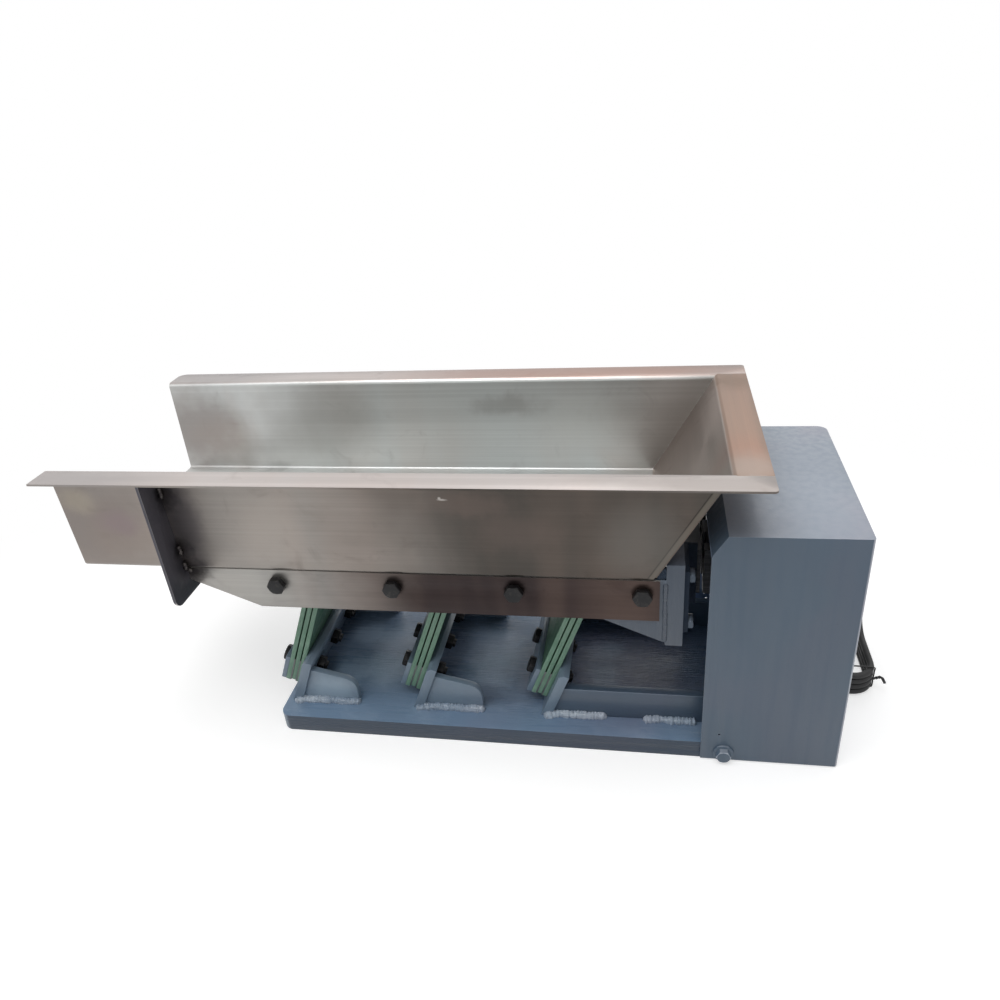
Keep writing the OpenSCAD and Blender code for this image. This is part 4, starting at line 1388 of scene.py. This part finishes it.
@dataclass
class Studio:
    """Camera, floor, lamps and world."""

    eye: Vector = field(default_factory=lambda: Vector((0.10405, -0.70914, 0.63096)))
    right: Vector = field(default_factory=lambda: Vector((0.98377, 0.16196, -0.07726)))
    down: Vector = field(default_factory=lambda: Vector((0.01207, -0.48927, -0.87205)))
    aim: Vector = field(default_factory=lambda: Vector((0.0, 0.0, 0.15)))
    lens: float = 28.86
    floor_size: float = 7.0
    floor_drop: float = 0.0004
    ambient: float = 0.37

    def camera(self) -> bpy.types.Object:
        """Makes the scene's camera.

        Returns:
            The camera.
        """
        data = bpy.data.cameras.new("camera")
        data.sensor_width = 36.0
        data.lens = self.lens
        data.clip_start = 0.01
        data.clip_end = 50.0
        made = bpy.data.objects.new("camera", data)
        bpy.context.scene.collection.objects.link(made)
        x, y = self.right.normalized(), -self.down.normalized()
        z = x.cross(y)
        y = z.cross(x)
        rows = [(x[i], y[i], z[i], self.eye[i]) for i in range(3)]
        made.matrix_world = Matrix((*rows, (0, 0, 0, 1)))
        bpy.context.scene.camera = made
        return made

    def floor(self) -> None:
        """Makes the pale floor that still takes the object's shadow."""
        half = self.floor_size / 2
        corners = [(-half, -half, 0), (half, -half, 0), (half, half, 0), (-half, half, 0)]
        mesh = bpy.data.meshes.new("floor")
        mesh.from_pydata(corners, [], [(0, 1, 2, 3)])
        made = link_mesh("floor", mesh)
        made.location.z = -self.floor_drop
        s = Shade("floor_paper")
        s.set(Base_Color=(0.6, 0.6, 0.6), Roughness=0.9)
        rays = s.node("ShaderNodeLightPath")
        seen = s.math("MAXIMUM", rays.outputs["Is Camera Ray"], rays.outputs["Is Glossy Ray"])
        seen = s.math("MAXIMUM", seen, rays.outputs["Is Transmission Ray"])
        level = s.node("ShaderNodeMapping")
        level.inputs["Scale"].default_value = (1.0, 1.4, 0.0)
        s.link(s.coords, level.inputs["Vector"])
        reach = s.node("ShaderNodeVectorMath", operation="LENGTH")
        s.link(level.outputs["Vector"], reach.inputs[0])
        away = s.ramp(reach.outputs["Value"], 0.35, 1.0)
        glow = s.node("ShaderNodeEmission")
        glow.inputs["Color"].default_value = (1.0, 1.0, 1.0, 1.0)
        s.link(s.math("MULTIPLY", seen, 0.54), glow.inputs["Strength"])
        lit = s.node("ShaderNodeAddShader")
        s.link(s.bsdf.outputs["BSDF"], lit.inputs[0])
        s.link(glow.outputs["Emission"], lit.inputs[1])
        white = s.node("ShaderNodeEmission")
        white.inputs["Color"].default_value = (1.0, 1.0, 1.0, 1.0)
        white.inputs["Strength"].default_value = 1.0
        blend = s.node("ShaderNodeMixShader")
        s.link(s.math("MULTIPLY", seen, away), blend.inputs[0])
        s.link(lit.outputs["Shader"], blend.inputs[1])
        s.link(white.outputs["Emission"], blend.inputs[2])
        s.link(blend.outputs["Shader"], s.out.inputs["Surface"])
        mesh.materials.append(s.material)

    def world(self) -> None:
        """Makes an even pale world, white to the camera and in reflections."""
        world = bpy.data.worlds.new("studio")
        bpy.context.scene.world = world
        world.use_nodes = True
        tree = world.node_tree
        tree.nodes.clear()
        add, join = tree.nodes.new, tree.links.new
        out, sky = add("ShaderNodeOutputWorld"), add("ShaderNodeBackground")
        rays = add("ShaderNodeLightPath")
        both, seen, level = (add("ShaderNodeMath") for _ in range(3))
        both.operation = seen.operation = "MAXIMUM"
        join(rays.outputs["Is Camera Ray"], both.inputs[0])
        join(rays.outputs["Is Glossy Ray"], both.inputs[1])
        join(both.outputs[0], seen.inputs[0])
        join(rays.outputs["Is Transmission Ray"], seen.inputs[1])
        level.operation = "MULTIPLY_ADD"
        join(seen.outputs[0], level.inputs[0])
        level.inputs[1].default_value = 1.0 - self.ambient
        level.inputs[2].default_value = self.ambient
        sky.inputs["Color"].default_value = (1.0, 1.0, 1.0, 1.0)
        join(level.outputs[0], sky.inputs["Strength"])
        join(sky.outputs["Background"], out.inputs["Surface"])

    def lamp(self, name: str, place: Vector, size: float, power: float) -> None:
        """Makes one soft square lamp.

        Args:
            name: The lamp's name.
            place: Where it stands.
            size: Its side.
            power: Its power in watts.
        """
        data = bpy.data.lights.new(name, "AREA")
        data.shape = "SQUARE"
        data.size = size
        data.energy = power
        made = bpy.data.objects.new(name, data)
        bpy.context.scene.collection.objects.link(made)
        made.location = place
        made.rotation_mode = "QUATERNION"
        made.rotation_quaternion = (self.aim - place).to_track_quat("-Z", "Y")

    def build(self) -> None:
        """Makes everything but the object."""
        self.floor()
        self.world()
        self.lamp("top_lamp", Vector((-0.2, -0.35, 2.2)), 2.0, 42.0)
        self.lamp("back_lamp", Vector((0.6, 1.6, 1.8)), 1.2, 6.0)
        self.lamp("side_lamp", Vector((-2.0, -0.6, 1.2)), 1.2, 3.0)
        bpy.context.scene.view_settings.view_transform = "Standard"


# ------------------------------------------------------------------ power cord


@dataclass
class PowerCord:
    """The cord: out of the gland, down into a hank on the floor, and its connector."""

    diameter: float = 0.007
    gland: Vector = field(default_factory=lambda: Vector((0.3085, 0.083, 0.0805)))
    run_near: float = 0.304
    run_far: float = 0.346
    fold_low: float = 0.0145
    fold_high: float = 0.1345
    layers: int = 4
    tie_radius: float = 0.0008
    tie_back: float = 0.010
    plug_height: float = 0.009
    plug_reach: float = 0.0485
    step: float = 0.004

    def lead_points(self) -> list[Vector]:
        """Points from the gland's mouth to the hank's top layer."""
        top = (self.layers - 0.5) * self.diameter
        g = self.gland
        out = [(0, 0), (4.5, 0), (9.5, 0), (16.5, -1), (23.5, -4), (29.5, -8.5), (34, -14.5), (36.5, -21)]
        down = [(0, 28), (-1, 21), (-4, 14), (-8, 8), (-14, 3.8), (-21, 1), (-28, 0)]
        far = 37.5
        points = [g + Vector((x, 0, z)) / 1000 for x, z in out]
        points += [Vector((g.x, g.y, top)) + Vector((far, y, z)) / 1000 for y, z in down]
        return points

    def hank_points(self) -> list[Vector]:
        """Points of the folded turns, each layer ramping down in the far fold."""
        r = (self.run_far - self.run_near) / 2
        mid = (self.run_far + self.run_near) / 2
        points: list[Vector] = []
        start = self.gland.y - 0.028
        back = self.fold_high - self.fold_low
        turn = round(math.pi * r / self.step)
        z = (self.layers - 0.5) * self.diameter
        for layer in range(self.layers):
            top_y = start if layer == 0 else self.fold_high
            reach = self.fold_low - top_y
            n = max(2, round(-reach / self.step))
            points += [Vector((self.run_far, top_y + reach * i / n, z)) for i in range(1, n)]
            for i in range(turn + 1):
                a = math.pi * i / turn
                points.append(Vector((mid + r * math.cos(a), self.fold_low - r * math.sin(a), z)))
            n = round(back / self.step)
            points += [Vector((self.run_near, self.fold_low + back * i / n, z)) for i in range(1, n)]
            if layer == self.layers - 1:
                break
            for i in range(turn + 1):
                share = i / turn
                a = math.pi * (1 - share)
                drop = share * share * (3 - 2 * share) * self.diameter
                points.append(Vector((mid + r * math.cos(a), self.fold_high + r * math.sin(a), z - drop)))
            z -= self.diameter
        return points

    def tail_points(self) -> list[Vector]:
        """Points from the hank's bottom layer to the connector."""
        low, rise = self.diameter / 2, self.plug_height - self.diameter / 2
        way = [(0, 0), (5.5, 0), (11.5, 0), (17.5, 0.05), (23.5, 0.25), (29.5, 0.6)]
        way += [(35.5, 0.9), (41.5, 1), (48.5, 1)]
        return [Vector((self.run_near, self.fold_high + y / 1000, low + rise * z)) for y, z in way]

    @staticmethod
    def smooth(points: Sequence[Vector], rounds: int) -> list[Vector]:
        """Evens out a line by averaging neighbours.

        Args:
            points: The line.
            rounds: How often.

        Returns:
            The smoother line, with the same ends.
        """
        line = [p.copy() for p in points]
        for _ in range(rounds):
            inner = [a * 0.25 + b * 0.5 + c * 0.25 for a, b, c in zip(line, line[1:], line[2:])]
            line = [line[0], *inner, line[-1]]
        return line

    def rounded(self, points: Sequence[Vector]) -> list[Vector]:
        """Puts finer points on a smooth curve through given ones.

        Args:
            points: The line.

        Returns:
            About one point for each step of the way.
        """
        line: list[Vector] = []
        last = len(points) - 1
        for i in range(last):
            p0, p1, p2, p3 = points[max(i - 1, 0)], points[i], points[i + 1], points[min(i + 2, last)]
            n = max(1, round((p2 - p1).length / self.step))
            for k in range(n):
                t = k / n
                line.append(
                    0.5
                    * (
                        2 * p1
                        + (p2 - p0) * t
                        + (2 * p0 - 5 * p1 + 4 * p2 - p3) * t * t
                        + (3 * p1 - p0 - 3 * p2 + p3) * t * t * t
                    )
                )
        line.append(points[-1])
        return line

    def build(self, finishes: Finishes) -> None:
        """Makes the cord, its tie and its connector.

        Args:
            finishes: The materials.
        """
        path = self.rounded(self.lead_points()) + self.hank_points() + self.tail_points()
        path = self.smooth(path, 1)
        cord = sweep("power_cord", path, self.diameter / 2 - 0.00003, 12)
        solids = ("cord_lead", "cord_hank", "cord_tail")
        finish_mesh(cord, Body.BASE, finishes.rubber, solids)
        tie = self.tie(finishes)
        plug = dress("cord_plug", finishes.plastic)
        relief = self.relief(finishes)

    def relief(self, finishes: Finishes) -> bpy.types.Object:
        """Makes the tapered sleeve behind the connector.

        Args:
            finishes: The materials.

        Returns:
            The sleeve.
        """
        length, steps = 0.0145, 12

        def ribbed(share: float) -> float:
            """Radius along the sleeve: it widens, with a rib at every second step."""
            return 0.0039 + 0.0017 * share + (0.0004 if int(share * steps) % 2 else 0.0)

        end = Vector((self.run_near, self.fold_high + self.plug_reach, self.plug_height))
        path = [end + Vector((0, -length + length * i / steps, 0)) for i in range(steps + 1)]
        sleeve = sweep("connector_sleeve", path, ribbed, 20)
        return finish_mesh(sleeve, Body.BASE, finishes.plastic)

    def tie(self, finishes: Finishes) -> bpy.types.Object:
        """Makes the wire tie round the hank, with its two twisted ends.

        Args:
            finishes: The materials.

        Returns:
            The tie.
        """
        r, y = self.tie_radius, self.fold_low - self.tie_back
        bulge = self.run_far - math.sqrt(((self.run_far - self.run_near) / 2) ** 2 - self.tie_back**2)
        bulge -= (self.run_far + self.run_near) / 2
        top = self.layers * self.diameter
        x0, x1 = self.run_near + bulge - self.diameter / 2, self.run_far - bulge + self.diameter / 2
        loop = [
            Vector((x1 + r, y, 0.012)),
            Vector((x1 + r, y, top - 0.004)),
            Vector((x1 - 0.002, y, top + r * 0.6)),
            Vector((x0 + 0.002, y, top + r * 0.6)),
            Vector((x0 - r, y, top - 0.004)),
            Vector((x0 - r, y, 0.004)),
            Vector((x0 + 0.003, y, r)),
            Vector((x1 - 0.003, y, r)),
            Vector((x1 + r, y, 0.004)),
            Vector((x1 + r, y, 0.011)),
        ]
        knot, twist = 0.0125, 0.0012
        ends = []
        for turned in (0.0, math.pi):
            line = [Vector((x1 + r, y, knot))]
            for i in range(1, 15):
                a = i * 0.9 + turned
                bend = max(0.0, (i - 9) / 5)
                across = y + twist * math.cos(a) - 0.003 * bend
                up = knot + twist * math.sin(a) + 0.0003 * i - 0.006 * bend * bend
                line.append(Vector((x1 + r + 0.0008 * i, across, up)))
            ends.append(line)

        def swollen(share: float) -> float:
            """Radius along a loose end, thicker over its last fifth."""
            return 0.0010 + 0.0006 * max(0.0, share - 0.8) / 0.2

        parts = [sweep("tie_part", self.rounded_fine(loop), r, 8)]
        parts += [sweep("tie_part", self.rounded_fine(line), swollen, 8) for line in ends]
        made = join_parts("cord_wire_tie", parts)
        return finish_mesh(made, Body.BASE, finishes.plastic, ("cord_tie",))

    def rounded_fine(self, points: Sequence[Vector]) -> list[Vector]:
        """Smooth line through points, with a finer step for thin wire.

        Args:
            points: The line.

        Returns:
            The finer line.
        """
        fine = PowerCord(step=0.0012)
        return fine.smooth(fine.rounded(points), 2)


def join_parts(name: str, parts: Sequence[bpy.types.Object]) -> bpy.types.Object:
    """Joins several mesh objects into one new object.

    Args:
        name: The new object's name.
        parts: What is joined; they are removed.

    Returns:
        The joined object.
    """
    shape = bmesh.new()
    for part in parts:
        shape.from_mesh(part.data)
    mesh = bpy.data.meshes.new(name)
    shape.to_mesh(mesh)
    shape.free()
    for part in parts:
        old = part.data
        bpy.data.objects.remove(part)
        bpy.data.meshes.remove(old)
    return link_mesh(name, mesh)


# ------------------------------------------------------------------------ base


@dataclass
class BaseFrame:
    """The base plate and what is welded on it.

    Each gusset's bead turns the seat's corner, bead_turn from the middle, and runs on past the foot;
    gusset_beads says how far. The ribs' beads run between two places along X.
    """

    ease: float = 0.0012
    gusset_face: float = 0.084
    top: float = BASE_TOP
    seat_places: tuple[float, float, float] = SEAT_PLACES
    seat_foot: float = 0.010748
    bead_lift: float = 0.0012
    bead_gap: float = 0.0008
    bead_turn: float = 0.0882
    gusset_beads: tuple[float, float, float] = (0.068, 0.068, 0.058)
    rib_bead: tuple[float, float] = (0.104, 0.157)

    def build(self, finishes: Finishes) -> None:
        """Dresses the base's pieces.

        Args:
            finishes: The materials.
        """
        for node, paint, width, segments in (
            ("base_plate", finishes.base_paint, 0.0022, 3),
            ("lower_seats", finishes.plate_paint, self.ease, 2),
            ("lower_gussets", finishes.plate_paint, 0.0009, 2),
            ("base_ribs", finishes.rib_paint, self.ease, 2),
            ("lower_clamp_plates", finishes.plate_paint, 0.0006, 2),
            ("magnet_bracket", finishes.bracket_lit_paint, self.ease, 2),
            ("magnet_gussets", finishes.bracket_lit_paint, self.ease, 2),
        ):
            dress_eased(node, Body.BASE, "grey_blue_paint", paint, width, segments=segments)
        self.beads(finishes)

    def beads(self, finishes: Finishes) -> None:
        """Makes the painted weld beads at the feet.

        Args:
            finishes: The materials.
        """
        lines: list[list[tuple[float, float, float]]] = []
        high = self.top + self.bead_lift
        rib_start, rib_end = self.rib_bead
        for side in (-1, 1):
            y, out = side * (self.gusset_face + self.bead_gap), side * self.bead_turn
            for i, (x, reach) in enumerate(zip(self.seat_places, self.gusset_beads)):
                start = x + self.seat_foot
                foot = [
                    (x + 0.003, out, self.top),
                    (start - 0.002, out - side * 0.001, self.top + self.bead_lift / 2),
                    (start + 0.004, y, high),
                ]
                lines.append(foot + self.wander((start + 0.006, y, high), (start + reach, y, high), i))
            lines.append(self.wander((rib_start, y, high), (rib_end, y, high), 7))
        bead = Bead("weld_bead_tree", radius=0.0048, pitch=0.0037, ripple=0.2, lump=0.0042, seed=2.0)
        made = bead.lay("base_weld_beads", lines, finishes.weld_paint)
        finish_mesh(made, Body.BASE, None, ("base_welds",))

    @staticmethod
    def wander(
        start: Sequence[float], end: Sequence[float], seed: int
    ) -> list[tuple[float, float, float]]:
        """A line that wavers a little, as a hand-laid weld does.

        Args:
            start: Its first point.
            end: Its last point.
            seed: Changes the waver.

        Returns:
            The line's points.
        """
        a, b = Vector(start), Vector(end)
        n = max(4, round((b - a).length / 0.004))
        side = (b - a).normalized().cross(Vector((0, 0, 1)))
        made = []
        for i in range(n + 1):
            t = i / n
            shift = 0.0005 * math.sin(5.1 * t * n / 4 + seed * 1.7) + 0.0003 * math.sin(11.3 * t + seed)
            made.append(tuple(a.lerp(b, t) + side * shift))
        return made


# --------------------------------------------------------------------- springs


@dataclass
class SpringStacks:
    """The three leaf stacks and their clamps.

    The leaves of a stack differ a little, as sawn ones do: by narrower in width and raised in height.
    """

    seat_places: tuple[float, float, float] = SEAT_PLACES
    base_top: float = BASE_TOP
    leaf: float = 0.005
    spacer: float = 0.0012
    skin: float = 0.00005
    edge: float = 0.0005
    end_gap: float = 0.0004
    sections: int = 24
    narrower: tuple[float, float, float] = (0.0, 0.0006, 0.0002)
    raised: tuple[float, float, float] = (0.0, 0.0008, -0.0006)
    width: float = 0.144
    length: float = 0.174
    foot: float = 0.013
    clamp: float = 0.032
    nodes: tuple[str, str, str] = ("leaf_stack_front", "leaf_stack_middle", "leaf_stack_rear")

    def build(self, finishes: Finishes) -> None:
        """Makes the bending leaves and dresses the clamps.

        Args:
            finishes: The materials.
        """
        for place, node in zip(self.seat_places, self.nodes):
            self.stack(place, node, finishes)
        for body, level in ((Body.BASE, "lower"), (Body.TROUGH, "upper")):
            for kind in ("bolts", "nuts"):
                dress_eased(f"{level}_clamp_{kind}", body, "black_steel", finishes.black, self.edge)
        dress("lower_spacers", finishes.plain)
        dress("upper_spacers", finishes.plain)
        for node in ("upper_seats", "upper_clamp_plates"):
            dress_eased(node, Body.TROUGH, "grey_blue_paint", finishes.plate_paint, 0.0008)

    def stack(self, place: float, node: str, finishes: Finishes) -> None:
        """Makes one stack's leaves.

        Args:
            place: X of the seat's foot.
            node: The CAD node that the leaves stand for.
            finishes: The materials.
        """
        origin = Vector((place, 0.0, self.base_top))
        shape = bmesh.new()
        for i, (less, lift) in enumerate(zip(self.narrower, self.raised)):
            near = -i * (self.leaf + self.spacer)
            front, back = near - self.skin, near - self.leaf + self.skin
            half = self.width / 2 - less
            low = self.foot + lift
            corners = [(front, -half), (front, half), (back, half), (back, -half)]
            rings = []
            for k in range(self.sections + 1):
                middle = origin + UP_LEAF * (low + (self.length - self.end_gap) * k / self.sections)
                spots = [middle + OFF_LEAF * a + Vector((0, b, 0)) for a, b in corners]
                rings.append([shape.verts.new(spot) for spot in spots])
            for a, b in zip(rings, rings[1:]):
                for j in range(4):
                    m = (j + 1) % 4
                    shape.faces.new((a[j], a[m], b[m], b[j]))
            shape.faces.new(list(reversed(rings[0])))
            shape.faces.new(rings[-1])
        bmesh.ops.recalc_face_normals(shape, faces=shape.faces)
        mesh = bpy.data.meshes.new(node + "_leaves")
        shape.to_mesh(mesh)
        shape.free()
        made = link_mesh(node + "_leaves", mesh)
        bevel = made.modifiers.new("ease", "BEVEL")
        bevel.width = self.edge
        bevel.segments = 2
        bevel.limit_method = "ANGLE"
        settle(made)
        smooth_by_angle(made.data)
        made.data.materials.append(finishes.laminate)
        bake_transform(made)
        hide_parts(node)
        LOG.info("piece %s bends between base and trough", made.name)


# ---------------------------------------------------------------------- trough


@dataclass
class Trough:
    """The bent trough, its end wall, stiffener and skirts, the moving frame, and their welds."""

    floor: float = 0.210366
    sheet: float = 0.002
    height: float = 0.111
    wall_low: float = 0.110
    wall_high: float = 0.113
    stiffener: float = -0.345
    flange_corner: float = 0.0035
    sheet_ease: float = 0.0004
    plate_ease: float = 0.0005
    bolt_ease: float = 0.0006
    frame_ease: float = 0.0012
    stitch_gap: float = 0.0016
    stitch_heights: tuple[float, float, float] = (0.299, 0.2335, 0.2145)
    stitch_lengths: tuple[float, float, float] = (0.012, 0.010, 0.008)
    armature_face: float = 0.1222
    outer_bead: float = 0.1052
    inner_bead: float = 0.0972
    fill_bead: float = 0.1025

    def build(self, finishes: Finishes) -> None:
        """Dresses the trough's pieces.

        Args:
            finishes: The materials.
        """
        ride, thin = Body.TROUGH, self.sheet_ease
        dress_eased("trough_pan", ride, "stainless", finishes.stainless, thin, corner=self.flange_corner)
        dress_eased("trough_end_wall", ride, "stainless", finishes.end_flange, thin, even=True)
        dress_eased("front_stiffener", ride, "stainless", finishes.mill, self.plate_ease)
        dress_eased("side_skirts", ride, "stainless", finishes.skirt, self.plate_ease)
        dress_eased("skirt_bolts", ride, "black_steel", finishes.black, self.bolt_ease)
        for node in ("frame_cheeks", "armature_plate"):
            dress_eased(node, ride, "pale_paint", finishes.pale_paint, self.frame_ease)
        self.stitches(finishes)
        self.frame_beads(finishes)

    def wall_y(self, z: float) -> float:
        """Outer face of a side wall at a height.

        Args:
            z: The height.

        Returns:
            Its distance from the middle.
        """
        share = (z - self.floor - self.sheet) / (self.height - self.sheet)
        return self.wall_low + (self.wall_high - self.wall_low) * share

    def stitches(self, finishes: Finishes) -> None:
        """Makes the small bare welds of the stainless pieces.

        Args:
            finishes: The materials.
        """
        lines: list[list[Vector]] = []
        for side in (-1, 1):
            x = self.stiffener + 0.0014
            for z, reach in zip(self.stitch_heights, self.stitch_lengths):
                ends = (z - reach / 2, z + reach / 2)
                lines.append([Vector((x, side * (self.wall_y(v) + self.stitch_gap), v)) for v in ends])
            lines.append([Vector((x, side * 0.1098, 0.2085)), Vector((x + 0.005, side * 0.1098, 0.2092))])
        bead = Bead("stitch_weld_tree", radius=0.0020, pitch=0.0026, ripple=0.3, lump=0.0018, seed=5.0)
        made = bead.lay("trough_stitch_welds", lines, finishes.weld)
        finish_mesh(made, Body.TROUGH)

    def frame_beads(self, finishes: Finishes) -> None:
        """Makes the painted welds between the cheeks and the armature plate, and corner beads in shaded
        paint, painted shade where the cheeks meet the end wall.

        Args:
            finishes: The materials.
        """
        lines: list[list[Vector]] = []
        corners: list[list[Vector]] = []
        for side in (-1, 1):
            y = side * self.outer_bead
            way = [(0.1224, 0.1400), (0.1228, 0.1600), (0.1222, 0.1850), (0.1226, 0.2070)]
            lines.append([Vector((x, y, z)) for x, z in way])
            y = side * self.inner_bead
            lines.append([Vector((self.armature_face, y, z)) for z in (0.1425, 0.206)])
            fill = [(0.1140, 0.2128), (0.1222, 0.2128), (0.1165, 0.2160)]
            fill += [(0.1222, 0.2165), (0.1195, 0.2215)]
            corners.append([Vector((x, side * self.fill_bead, z)) for x, z in fill])
        bead = Bead("frame_weld_tree", radius=0.0026, pitch=0.0030, ripple=0.1, lump=0.0008, seed=8.0)
        made = bead.lay("frame_weld_beads", lines, finishes.bead_paint)
        finish_mesh(made, Body.TROUGH)
        # Corner beads: dark beads in shaded paint, painted shade in the corner under the end wall.
        bead = Bead("corner_weld_tree", radius=0.0033, pitch=0.0024, ripple=0.1, lump=0.0008, seed=4.0)
        made = bead.lay("corner_shade_weld_beads", corners, finishes.shaded_paint)
        finish_mesh(made, Body.TROUGH)


# ----------------------------------------------------------------------- drive


@dataclass
class Drive:
    """The armature, the magnet and the cover over them."""

    ease: float = 0.0005
    cover_ease: float = 0.0013

    def build(self, finishes: Finishes) -> None:
        """Dresses the drive's pieces.

        Args:
            finishes: The materials.
        """
        dress("armature_core", finishes.sheets)
        dress("magnet_core", finishes.sheets)
        dress("magnet_coil", finishes.coil)
        for body, block in ((Body.TROUGH, "armature"), (Body.BASE, "magnet")):
            dress_eased(block + "_angles", body, "grey_blue_paint", finishes.shaded_paint, self.ease)
            dress_eased(block + "_bolts", body, "zinc_steel", finishes.zinc, self.ease)
        paint = finishes.cover_paint
        dress_eased("drive_cover", Body.BASE, "grey_blue_paint", paint, self.cover_ease, segments=3)
        dress_eased("cover_bolts", Body.BASE, "grey_blue_paint", paint, self.ease)
        dress_eased("cable_gland", Body.BASE, "black_plastic", finishes.plastic, 0.0004)


def main() -> None:
    """Builds the scene in order."""
    logging.basicConfig(level=logging.INFO, format="%(message)s")
    studio = Studio()
    studio.camera()
    finishes = Finishes()
    PowerCord().build(finishes)
    BaseFrame().build(finishes)
    SpringStacks().build(finishes)
    Trough().build(finishes)
    Drive().build(finishes)
    studio.build()


if __name__ == "__main__":
    main()
